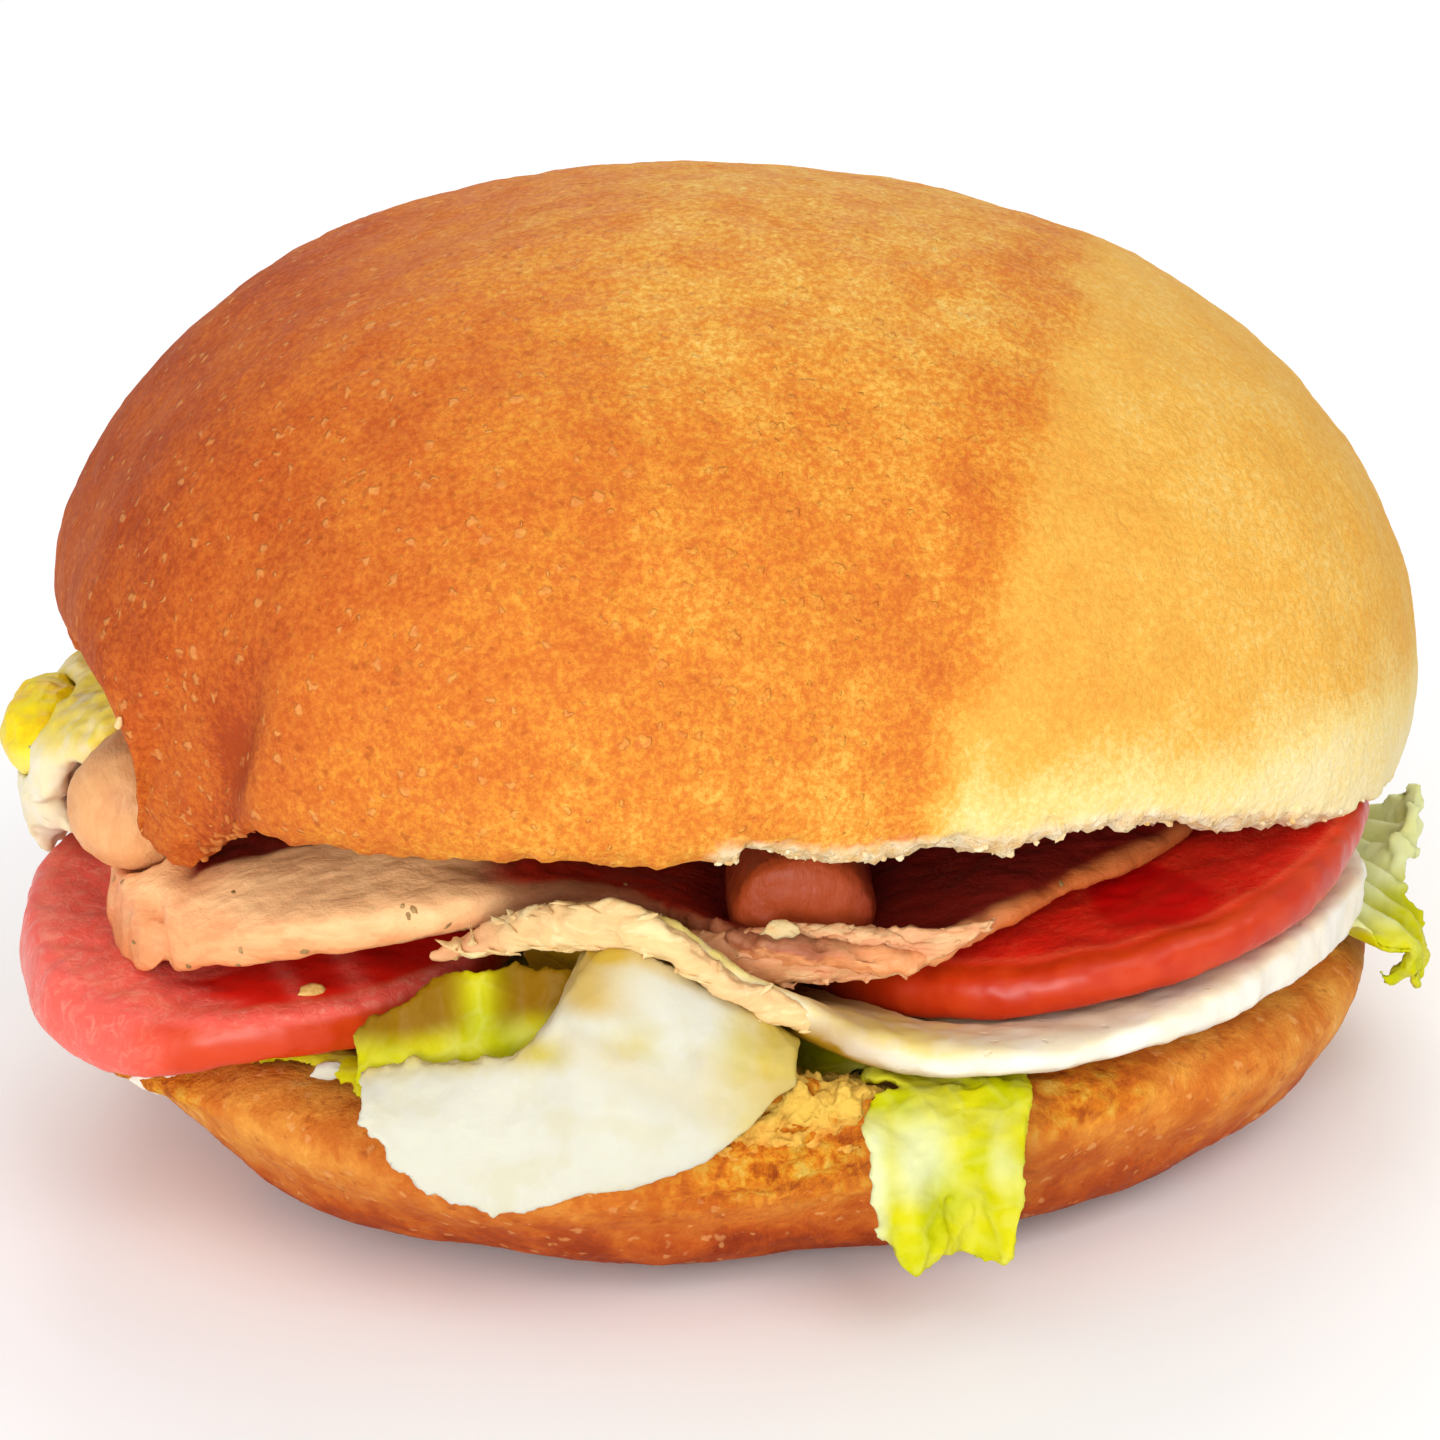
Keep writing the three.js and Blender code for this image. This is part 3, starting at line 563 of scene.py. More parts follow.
class Effects:
    """The shared node groups, each built once."""

    def __init__(self) -> None:
        """Builds every group."""
        self.trees: dict[Effect, bpy.types.NodeTree] = {
            Effect.SLOPE: self.slope(),
            Effect.SPOT: self.spot(),
            Effect.SPECKS: self.specks(),
            Effect.FLECKS: self.flecks(),
            Effect.FIBRES: self.fibres(),
            Effect.BLISTERS: self.blisters(),
        }

    @staticmethod
    def begin(effect: Effect, **inputs: object) -> tuple[Graph, list[Value]]:
        """Starts a group that reads the place and puts out one mask.

        Args:
            effect: Which effect it is.
            inputs: Its other inputs and their starting values; a tuple makes a vector.

        Returns:
            The group's graph and its inputs, the place first.
        """
        tree = bpy.data.node_groups.new(effect.value, "ShaderNodeTree")
        for name, value in {"Place": (0.0, 0.0, 0.0), **inputs}.items():
            kind = "NodeSocketVector" if isinstance(value, tuple) else "NodeSocketFloat"
            socket = tree.interface.new_socket(name, in_out="INPUT", socket_type=kind)
            socket.default_value = value
        tree.interface.new_socket("Mask", in_out="OUTPUT", socket_type="NodeSocketFloat")
        graph = Graph(tree)
        entry = tree.nodes.new("NodeGroupInput")
        return graph, [Value(graph, entry.outputs[name]) for name in ("Place", *inputs)]

    @staticmethod
    def end(graph: Graph, mask: Value) -> bpy.types.NodeTree:
        """Ends a group with its mask.

        Args:
            graph: The group's graph.
            mask: What it puts out.

        Returns:
            The group's tree.
        """
        out = graph.tree.nodes.new("NodeGroupOutput")
        graph.feed(out.inputs["Mask"], mask)
        return graph.tree

    def slope(self) -> bpy.types.NodeTree:
        """Makes a mask that rises along a direction, with a wavering edge.

        Returns:
            The group's tree.
        """
        graph, (place, along, start, end, waver, grain) = self.begin(
            Effect.SLOPE, Along=(1.0, 0.0, 0.0), From=0.0, To=10.0, Waver=2.0, Grain=8.0
        )
        reach = graph.vectors("DOT_PRODUCT", place, along, "Value")
        shift = (graph.noise(place, grain, 1.0) - 0.5) * waver
        return self.end(graph, graph.span(reach + shift, start, end))

    def spot(self) -> bpy.types.NodeTree:
        """Makes a mask of 1 inside a ball, with a soft wavering edge.

        Returns:
            The group's tree.
        """
        graph, (place, centre, radius, softness, waver, grain) = self.begin(
            Effect.SPOT, Centre=(0.0, 0.0, 0.0), Radius=10.0, Softness=4.0, Waver=2.0, Grain=5.0
        )
        away = graph.vectors("DISTANCE", place, centre, "Value")
        shift = (graph.noise(place, grain, 1.0) - 0.5) * waver
        return self.end(graph, ((radius - (away + shift)) / softness).clamped())

    def specks(self) -> bpy.types.NodeTree:
        """Makes a mask of small scattered specks.

        Returns:
            The group's tree.
        """
        graph, (place, spacing, radius, amount) = self.begin(
            Effect.SPECKS, Spacing=2.0, Radius=0.3, Amount=0.5
        )
        cells = graph.add("TexVoronoi", Vector=graph.bent(place, 1.6, 0.8), Scale=1.0 / spacing)
        chance = graph.add("SeparateColor", Color=cells.beside("Color"))
        size = radius * (chance.beside("Green") + 0.5)
        inside = graph.span(cells * spacing, size, size * 0.5)
        return self.end(graph, inside * graph.calc("LESS_THAN", chance, amount))

    def flecks(self) -> bpy.types.NodeTree:
        """Makes a mask of ragged flecks of uneven size, in loose clusters.

        Returns:
            The group's tree.
        """
        graph, (place, size, above) = self.begin(Effect.FLECKS, Size=0.8, Above=0.6)
        loose = graph.span(graph.noise(place, 4.0, 2.0), 0.3, 0.7, -0.04, 0.04)
        level = graph.noise(place, size, 2.0, 0.55) + loose
        return self.end(graph, graph.add("MapRange", Value=level, From_Min=above, From_Max=above + 0.12))

    def fibres(self) -> bpy.types.NodeTree:
        """Makes streaks of noise drawn out along one direction.

        Returns:
            The group's tree.
        """
        graph, (place, squeeze, width, waver) = self.begin(
            Effect.FIBRES, Squeeze=(1.0, 1.0, 1.0), Width=0.6, Waver=0.6
        )
        drawn = graph.vectors("MULTIPLY", graph.bent(place, 0.12, waver * 6.0, 2.0), squeeze)
        return self.end(graph, graph.span(graph.noise(drawn, width, 3.0, 0.6), 0.25, 0.75))

    def blisters(self) -> bpy.types.NodeTree:
        """Makes small rounded blisters that sit close together.

        Returns:
            The group's tree.
        """
        graph, (place, spacing) = self.begin(Effect.BLISTERS, Spacing=1.2)
        cells = graph.add("TexVoronoi", Vector=graph.bent(place, 0.8, 0.9), Scale=1.0 / spacing)
        return self.end(graph, (1.0 - cells).clamped())


class FinishGraph(Graph):
    """Shader tree of one finish, which knows the place on the object and the shared effects."""

    def __init__(self, tree: bpy.types.NodeTree, effects: Effects) -> None:
        """Starts the tree with the place in millimetres."""
        super().__init__(tree)
        self.effects = effects
        where = self.add("TexCoord", output="Object")
        self.place = self.add("Mapping", Vector=where, Scale=(1 / MM, 1 / MM, 1 / MM))

    def painted(self, name: str) -> Value:
        """Returns a painted number by its name."""
        return self.add("Attribute", {"attribute_name": name}, output="Fac")

    def clouds(self, size: float, detail: float = 2.0, rough: float = 0.5, warp: float = 0.0) -> Value:
        """Returns soft noise at the object's own places."""
        return self.noise(self.place, size, detail, rough, warp)

    def shared(self, effect: Effect, **values: object) -> Value:
        """Returns the mask of a shared effect with these values."""
        return self.add("Group", {"node_tree": self.effects.trees[effect]}, Place=self.place, **values)

    def slope(self, along: Triple, start: float, end: float, waver: float, grain: float) -> Value:
        """Returns a mask that rises along a direction, with an edge that wavers in waves of this grain."""
        return self.shared(Effect.SLOPE, Along=along, From=start, To=end, Waver=waver, Grain=grain)

    def fibres(self, squeeze: Triple, width: float, waver: float) -> Value:
        """Returns streaks that are drawn together along each axis by this much."""
        return self.shared(Effect.FIBRES, Squeeze=squeeze, Width=width, Waver=waver)

    def specks(self, spacing: float, radius: float, amount: float) -> Value:
        """Returns a mask of specks, of which this share is kept."""
        return self.shared(Effect.SPECKS, Spacing=spacing, Radius=radius, Amount=amount)


# Finishes


@dataclass(frozen=True)
class Surface:
    """Values of a finish that are the same all over.

    Attributes:
        roughness: Roughness of the surface.
        specular: How strongly it reflects.
        bump: Height of the finest relief.
        subsurface: Share of light that passes through the surface.
        depth: How far red, green and blue light travel inside.
        coat: Thickness of the wet layer on top, 0 to 1.
        film: Roughness of the wet layer.
    """

    roughness: float
    specular: float
    bump: float
    subsurface: float = 0.0
    depth: Triple = (1.0, 0.5, 0.3)
    coat: float = 0.0
    film: float = 0.1


@dataclass(frozen=True)
class Finish:
    """One finish of the roll.

    Attributes:
        name: The material's name.
        surface: Values that are the same all over.
    """

    name: str
    surface: Surface

    def colour(self, graph: FinishGraph) -> Value:
        """Returns the colour over the surface."""
        raise NotImplementedError

    def height(self, graph: FinishGraph) -> Value:
        """Returns the fine relief over the surface."""
        return graph.clouds(0.8, 3.0)

    def gloss(self, graph: FinishGraph) -> Value:
        """Returns the roughness over the surface."""
        rough = self.surface.roughness
        return graph.span(graph.clouds(2.5), 0.3, 0.7, rough - 0.08, rough + 0.08)

    def make(self, effects: Effects) -> bpy.types.Material:
        """Builds the material.

        Args:
            effects: The shared node groups.

        Returns:
            The finished material.
        """
        material = bpy.data.materials.new(self.name)
        material.use_nodes = True
        graph = FinishGraph(material.node_tree, effects)
        shader = graph.add(
            "BsdfPrincipled",
            Base_Color=self.colour(graph),
            Roughness=self.gloss(graph),
            Specular_IOR_Level=self.surface.specular,
            Subsurface_Weight=self.surface.subsurface,
            Subsurface_Radius=self.surface.depth,
            Subsurface_Scale=MM,
            Coat_Weight=self.surface.coat,
            Coat_Roughness=self.surface.film,
            Normal=graph.add("Bump", Height=self.height(graph), Distance=self.surface.bump * MM),
        )
        graph.feed(material.node_tree.nodes.new("ShaderNodeOutputMaterial").inputs["Surface"], shader)
        return material


@dataclass(frozen=True)
class Crust(Finish):
    """Baked crust with lighter and darker flecks: painted highlights on raised blisters and painted shade
    beside them.
    """

    @staticmethod
    def lit_flecks(graph: FinishGraph) -> Value:
        """Returns the mask of the lighter flecks, which carry painted highlights."""
        return graph.specks(1.35, 0.4, 0.5)

    def flecks(self, graph: FinishGraph) -> tuple[Value, Value]:
        """Returns the masks of the lighter flecks with painted highlights and the darker flecks with painted
        shade.
        """
        light = self.lit_flecks(graph)
        return light, (graph.specks(1.15, 0.34, 0.45) - light).clamped()


@dataclass(frozen=True)
class CrownCrust(Crust):
    """Baked crust of the crown: reddish brown at the left, pale where a neighbour touched it."""

    def colour(self, graph: FinishGraph) -> Value:
        """Colours the crust from cream over golden to reddish brown, with painted shade in the crease beside
        the lip, and the crumb cream.

        Args:
            graph: The finish's graph.

        Returns:
            The colour.
        """
        pale = graph.slope((1.0, -0.13, -0.33), 6.0, 11.0, 6.0, 9.0)
        edge = graph.slope((1.0, -0.13, -0.33), 0.5, 5.0, 7.0, 6.0)
        left = graph.slope((-1.0, 0.12, 0.1), 8.0, 58.0, 22.0, 16.0)
        browner = graph.slope((-1.0, 0.1, 0.0), -14.0, 18.0, 14.0, 10.0)
        rim = graph.slope((-0.15, 0.0, -1.0), -53.0, -41.0, 7.0, 9.0)
        high = graph.slope((0.3, 0.0, 1.0), 64.0, 78.0, 8.0, 9.0)
        far = graph.slope((1.0, 0.0, 0.35), 46.0, 60.0, 8.0, 9.0)
        # crease: painted shade, a darker bake in the crease beside the lip.
        crease = graph.shared(Effect.SPOT, Centre=(-37.0, -41.0, 47.0), Radius=6.0, Softness=5.5, Waver=5.0)
        mottle = graph.span(graph.clouds(6.0, 4.0, 0.6), 0.3, 0.7, -0.08, 0.08)
        blisters = graph.span(graph.shared(Effect.BLISTERS, Spacing=0.85), 0.3, 0.95, 0.03, -0.04)
        fine = graph.span(graph.clouds(0.55, 4.0, 0.8), 0.36, 0.64, -0.11, 0.11)
        grainy = mottle + blisters + fine
        bake = 0.495 + left * 0.34 + browner * 0.075 - high * 0.12 - rim * 0.07 + edge * 0.07 + crease * 0.1
        # The crease mask adds more painted shade along the crease.
        bake = bake + graph.painted("crease") * 0.22 + graph.painted("lip") * 0.16 + grainy
        pale_bake = 0.34 - rim * 0.27 + grainy * 0.38 - far * 0.065
        crust = graph.ramp(
            graph.turn(pale, bake, pale_bake),
            {
                0.0: (253, 234, 178),
                0.14: (252, 220, 136),
                0.28: (244, 184, 78),
                0.46: (232, 147, 49),
                0.6: (221, 122, 42),
                0.8: (204, 96, 32),
                1.0: (176, 70, 22),
            },
        )
        # Flecks: painted highlights on the raised blisters and painted shade beside them.
        light, dark = self.flecks(graph)
        many = (0.18 + browner * 0.82) * (1.0 - pale * 0.7)
        crust = graph.blend(light * many * 0.4, crust, (248, 180, 102))
        crust = graph.blend(dark * many * 0.45, crust, (164, 72, 24))
        crumb = graph.ramp(graph.clouds(1.3, 4.0, 0.6), {0.3: (236, 190, 118), 0.7: (254, 240, 206)})
        return graph.blend(graph.painted("crumb"), crust, crumb)

    def height(self, graph: FinishGraph) -> Value:
        """Raises blisters and light flecks and bubbles the crumb.

        Args:
            graph: The finish's graph.

        Returns:
            The height.
        """
        baked = graph.slope((-1.0, 0.13, 0.33), -10.0, -2.0, 5.0, 9.0)
        skin = graph.shared(Effect.BLISTERS, Spacing=0.85) * 0.5 + graph.clouds(0.55, 4.0, 0.8) * 0.9
        skin = skin + self.lit_flecks(graph) * (baked * 0.6)
        return graph.turn(graph.painted("crumb"), skin, graph.clouds(1.0, 4.0, 0.7) * 3.0)


@dataclass(frozen=True)
class HeelCrust(Crust):
    """Baked crust of the heel: orange brown, darker at the foot, torn to pale crumb in front."""

    @staticmethod
    def flakes(graph: FinishGraph) -> Value:
        """Returns the fine flakes of the crust."""
        return graph.fibres((0.8, 0.8, 0.6), 1.1, 1.2)

    def colour(self, graph: FinishGraph) -> Value:
        """Colours the crust, its flakes and the torn crumb.

        Args:
            graph: The finish's graph.

        Returns:
            The colour.
        """
        low = graph.slope((0.0, 0.0, -1.0), -12.0, 0.0, 4.0, 7.0)
        right = graph.slope((1.0, 0.0, 0.2), 30.0, 50.0, 8.0, 8.0)
        # left lightens the heel's left end: painted light where the tomato shades it.
        left = graph.slope((-1.0, 0.0, 0.2), 22.0, 40.0, 8.0, 8.0)
        mottle = graph.span(graph.clouds(4.5, 4.0, 0.6), 0.3, 0.7, -0.16, 0.16)
        flakes = self.flakes(graph)
        bake = 0.52 + low * 0.47 - (right * 0.13 + left * 0.14) + mottle
        bake = bake + graph.span(flakes, 0.45, 0.95, 0.0, -0.07)
        crust = graph.ramp(
            bake,
            {
                0.0: (250, 206, 122),
                0.25: (240, 162, 66),
                0.5: (216, 120, 40),
                0.75: (190, 84, 24),
                1.0: (150, 52, 14),
            },
        )
        # Flecks: painted highlights and painted shade of small bumps.
        light, dark = self.flecks(graph)
        crust = graph.blend(light * 0.4, crust, (250, 186, 112))
        crust = graph.blend(dark * 0.4, crust, (158, 66, 22))
        torn = graph.ramp(
            graph.clouds(2.0, 5.0, 0.65) + graph.span(flakes, 0.2, 0.9, -0.12, 0.12),
            {0.28: (180, 82, 14), 0.45: (234, 132, 24), 0.6: (244, 170, 44), 0.8: (246, 206, 92)},
        )
        crumb = graph.ramp(graph.clouds(1.2, 4.0, 0.6), {0.3: (240, 198, 124), 0.7: (253, 236, 190)})
        return graph.blend(graph.painted("crumb"), graph.blend(graph.painted("torn"), crust, torn), crumb)

    def height(self, graph: FinishGraph) -> Value:
        """Wrinkles the crust and bubbles the torn crumb.

        Args:
            graph: The finish's graph.

        Returns:
            The height.
        """
        skin = self.flakes(graph) * 0.5 + graph.clouds(0.5, 4.0, 0.65)
        open_crumb = graph.calc("MAXIMUM", graph.painted("torn"), graph.painted("crumb"))
        return graph.turn(open_crumb, skin, graph.clouds(1.1, 5.0, 0.7) * 4.0)


@dataclass(frozen=True)
class Crumb(Finish):
    """Torn open crumb of the bread.

    Attributes:
        shade: The crumb's darker colour.
        light: Its lighter colour.
    """

    shade: Triple = (238, 190, 116)
    light: Triple = (254, 238, 198)

    def colour(self, graph: FinishGraph) -> Value:
        """Returns cream and golden crumb."""
        return graph.ramp(graph.clouds(1.4, 3.0), {0.32: self.shade, 0.62: self.light})

    def height(self, graph: FinishGraph) -> Value:
        """Returns small bubbles."""
        return graph.clouds(0.5, 4.0, 0.7)


@dataclass(frozen=True)
class GoldenCrumb(Crumb):
    """Torn crumb that is golden below and pale at its peaks."""

    def colour(self, graph: FinishGraph) -> Value:
        """Colours golden crumb with pale yellow peaks.

        Args:
            graph: The finish's graph.

        Returns:
            The colour.
        """
        golden = graph.ramp(graph.clouds(1.8, 4.0, 0.6), {0.35: self.shade, 0.62: self.light})
        high = graph.slope((0.0, 0.0, 1.0), 13.5, 18.0, 4.0, 3.0)
        return graph.blend(high * 0.7, golden, (240, 204, 90))


@dataclass(frozen=True)
class Meat(Finish):
    """Cooked meat with fibres, fat and browned places.

    Attributes:
        lean: Colour of the lean meat.
        brown: Colour where it is browned.
        fat: Colour of the fat.
        deep: Colour of the painted shade deep inside the roll.
        gap_shade: Colour of the reddish painted shade under the crown, beside the middle sausage.
        squeeze: How much the fibres are drawn together along X, Y and Z.
        fat_share: How much fat shows, 0 to 1.
        flecked: How strongly herbs colour it, 0 to 1.
    """

    # The bacon's lean and fat go above 255: painted light that makes up for the crown's shade on the bacon.
    lean: Triple = (272, 190, 130)
    brown: Triple = (210, 114, 54)
    fat: Triple = (276, 226, 162)
    deep: Triple = (124, 22, 14)
    gap_shade: Triple = (190, 40, 18)
    squeeze: Triple = (0.28, 0.6, 1.0)
    fat_share: float = 0.5
    flecked: float = 0.0

    def colour(self, graph: FinishGraph) -> Value:
        """Colours lean meat with streaks of fat and browned patches, and lays on the painted light and
        painted shade of its masks.

        Args:
            graph: The finish's graph.

        Returns:
            The colour.
        """
        streaks = graph.fibres(self.squeeze, 1.3, 0.8)
        fine = graph.fibres(self.squeeze, 0.7, 0.8)
        patches = graph.span(graph.clouds(5.0, 3.0, 0.6), 0.45, 0.75, 0.0, 0.3)
        meat = graph.blend(patches, self.lean, self.brown)
        herbs = graph.shared(Effect.FLECKS, Size=1.1, Above=0.62)
        # Layers: the painted fat is partly the fat's own colour and partly painted light; the deep and the
        # reddish layers are painted shade.
        layers = (
            (graph.span(fine, 0.2, 0.9, 0.0, 0.3), self.fat),
            (graph.span(streaks, 0.55, 0.8) * self.fat_share, self.fat),
            (graph.painted("fatty") * 0.75, self.fat),
            (herbs * self.flecked, (150, 112, 52)),
            (graph.painted("browned"), self.brown),
            (graph.painted("deep"), self.deep),
            (graph.painted("gap_shaded"), self.gap_shade),
        )
        for share, over in layers:
            meat = graph.blend(share, meat, over)
        return meat

    def height(self, graph: FinishGraph) -> Value:
        """Returns the fibres' relief."""
        return graph.fibres(self.squeeze, 0.7, 0.8) * 0.5 + graph.clouds(0.9, 3.0, 0.6)


@dataclass(frozen=True)
class TomatoFlesh(Finish):
    """Wet cut tomato: skin at the edge, fibrous wall, darker gel in the chambers.

    Attributes:
        wall: Colour of the flesh.
        gel: Colour of the gel.
        skin: Colour of the skin.
        fibre: Colour of the pale fibres.
    """

    wall: Triple = (238, 40, 24)
    gel: Triple = (224, 14, 12)
    skin: Triple = (198, 48, 8)
    fibre: Triple = (248, 84, 50)

    def colour(self, graph: FinishGraph) -> Value:
        """Colours flesh with pale fibres, gel, the skin's band and a painted highlight just inside the skin.

        Args:
            graph: The finish's graph.

        Returns:
            The colour.
        """
        fibres = graph.span(graph.clouds(1.6, 4.0, 0.65, 1.4), 0.45, 0.75, 0.0, 0.5)
        flesh = graph.blend(fibres, self.wall, self.fibre)
        flesh = graph.blend(graph.painted("gel"), flesh, self.gel)
        skin = graph.blend(graph.span(graph.clouds(3.5), 0.35, 0.7, 0.0, 0.5), self.skin, (222, 72, 18))
        both = graph.blend(graph.painted("skin"), flesh, skin)
        # painted highlight: a pale line just inside the skin.
        return graph.blend(graph.painted("rim_highlight") * 0.3, both, (250, 130, 80))

    def height(self, graph: FinishGraph) -> Value:
        """Returns the fibres, which the smooth skin doesn't have."""
        smooth = graph.painted("skin") + graph.painted("gel") * 0.75
        return graph.clouds(1.2, 4.0, 0.65, 1.2) * (1.0 - smooth).clamped()


@dataclass(frozen=True)
class CookedEgg(Finish):
    """Cooked egg white, cream, with yellow in its edges.

    Attributes:
        tinge: The yellow of its edges.
    """

    tinge: Triple = (250, 226, 130)

    def colour(self, graph: FinishGraph) -> Value:
        """Colours soft clouds of cream white, with a yellow tinge, and olive where the green mask is painted.

        Args:
            graph: The finish's graph.

        Returns:
            The colour.
        """
        white = graph.ramp(graph.clouds(5.0, 3.0), {0.35: (250, 238, 214), 0.6: (250, 244, 232)})
        uneven = graph.span(graph.clouds(2.2, 3.0), 0.3, 0.6, 0.5, 1.0)
        white = graph.blend(graph.painted("yellow") * uneven, white, self.tinge)
        # olive: on the egg white this is painted shade.
        return graph.blend(graph.painted("green"), white, (176, 132, 20))

    def height(self, graph: FinishGraph) -> Value:
        """Returns soft dimples with a few small bubbles."""
        return graph.clouds(1.8, 3.0) - graph.specks(2.2, 0.45, 0.35) * 0.6


@dataclass(frozen=True)
class CookedYolk(Finish):
    """Cooked yolk, bright yellow with deeper and paler places."""

    def colour(self, graph: FinishGraph) -> Value:
        """Colours it yellow, with orange depths and pale crumbly patches.

        Args:
            graph: The finish's graph.

        Returns:
            The colour.
        """
        stops = {0.3: (252, 200, 0), 0.5: (255, 224, 0), 0.72: (255, 238, 20)}
        yellow = graph.ramp(graph.clouds(3.0, 4.0, 0.6), stops)
        return graph.blend(graph.painted("pale"), yellow, (252, 240, 176))


@dataclass(frozen=True)
class Lettuce(Finish):
    """Crisp lettuce, from white rib to green leaf, with veins.

    Attributes:
        rib: Colour of the rib.
        leaf: Colour of the leaf.
        edge: Colour of its edge.
        shade: Colour of the painted shade deep in its folds.
    """

    rib: Triple = (228, 232, 176)
    leaf: Triple = (220, 214, 12)
    edge: Triple = (196, 198, 0)
    shade: Triple = (142, 90, 0)

    @staticmethod
    def veins(graph: FinishGraph) -> Value:
        """Returns the distance from the net of veins."""
        return graph.add("TexVoronoi", {"feature": "DISTANCE_TO_EDGE"}, Vector=graph.place, Scale=1 / 3.4)

    def colour(self, graph: FinishGraph) -> Value:
        """Colours rib and leaf, parted by soft clouds, with pale veins and painted shade.

        Args:
            graph: The finish's graph.

        Returns:
            The colour.
        """
        green = graph.painted("green") + graph.span(graph.clouds(4.0, 3.0), 0.3, 0.7, -0.15, 0.15)
        leaf = graph.blend(graph.span(graph.clouds(6.0), 0.4, 0.65), self.leaf, self.edge)
        vein = graph.span(self.veins(graph), 0.0, 0.12, 0.07, 0.0) * (1.0 - graph.painted("shade")).clamped()
        both = graph.blend(green.clamped(), self.rib, graph.blend(vein, leaf, self.rib))
        return graph.blend(graph.painted("shade"), both, self.shade)

    def height(self, graph: FinishGraph) -> Value:
        """Returns the net of veins over soft bumps."""
        net = graph.span(self.veins(graph), 0.0, 0.15, 0.35, 0.0) * graph.painted("green")
        return net + graph.clouds(1.4, 3.0) * 0.8


@dataclass(frozen=True)
class Plain(Finish):
    """Two close shades of one colour, for small things.

    Attributes:
        shade: The darker shade.
        light: The lighter shade.
    """

    shade: Triple = (90, 92, 30)
    light: Triple = (140, 140, 60)

    def colour(self, graph: FinishGraph) -> Value:
        """Returns the two shades in soft clouds."""
        return graph.ramp(graph.clouds(1.1), {0.35: self.shade, 0.65: self.light})


# Pieces of the roll


def settle(model: bpy.types.Object, finish: bpy.types.Material) -> None:
    """Gives a model its material, smooth shading and body.

    Args:
        model: The finished model.
        finish: Its material.
    """
    model.data.materials.clear()
    model.data.materials.append(finish)
    pick(model)
    bpy.ops.object.shade_smooth()
    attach(model, BODY)
    LOG.info("%s: %d faces", model.name, len(model.data.polygons))


@dataclass
class Piece:
    """One piece of the roll that stands for a solid.

    Attributes:
        node: The solid's node.
        slot: Its material slot in the record; not used.
        finish: Its material.
        voxel: Size of the fine mesh's faces.
        rounds: How often the fine mesh is smoothed.
        reliefs: Relief all over the piece.
        name: Name of the piece, where it isn't the node's.
        model: The piece's model, once it is built.
    """

    node: str
    slot: str
    finish: bpy.types.Material
    voxel: float
    rounds: int
    reliefs: tuple[Relief, ...]
    name: str = field(default="", kw_only=True)
    model: bpy.types.Object = field(init=False)

    def build(self) -> "Piece":
        """Makes the mesh and dresses it.

        Returns:
            The piece itself.
        """
        self.model = node_copy(self.node, self.name or self.node)
        refine(self.model, self.voxel, self.rounds)
        self.press(None, *self.reliefs)
        self.shape()
        paint(self.model, self.masks())
        settle(self.model, self.finish)
        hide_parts(self.node)
        return self

    def press(self, mask: np.ndarray | None, *reliefs: Relief) -> None:
        """Presses reliefs into the model, one after the other.

        Args:
            mask: How strongly each corner takes them, or None for fully.
            reliefs: The reliefs.
        """
        for relief in reliefs:
            relief.press(self.model, mask)

    def shape(self) -> None:
        """Adds the form that only this piece has."""

    def masks(self) -> dict[str, np.ndarray]:
        """Returns the numbers that the finish reads, by name."""
        return {}


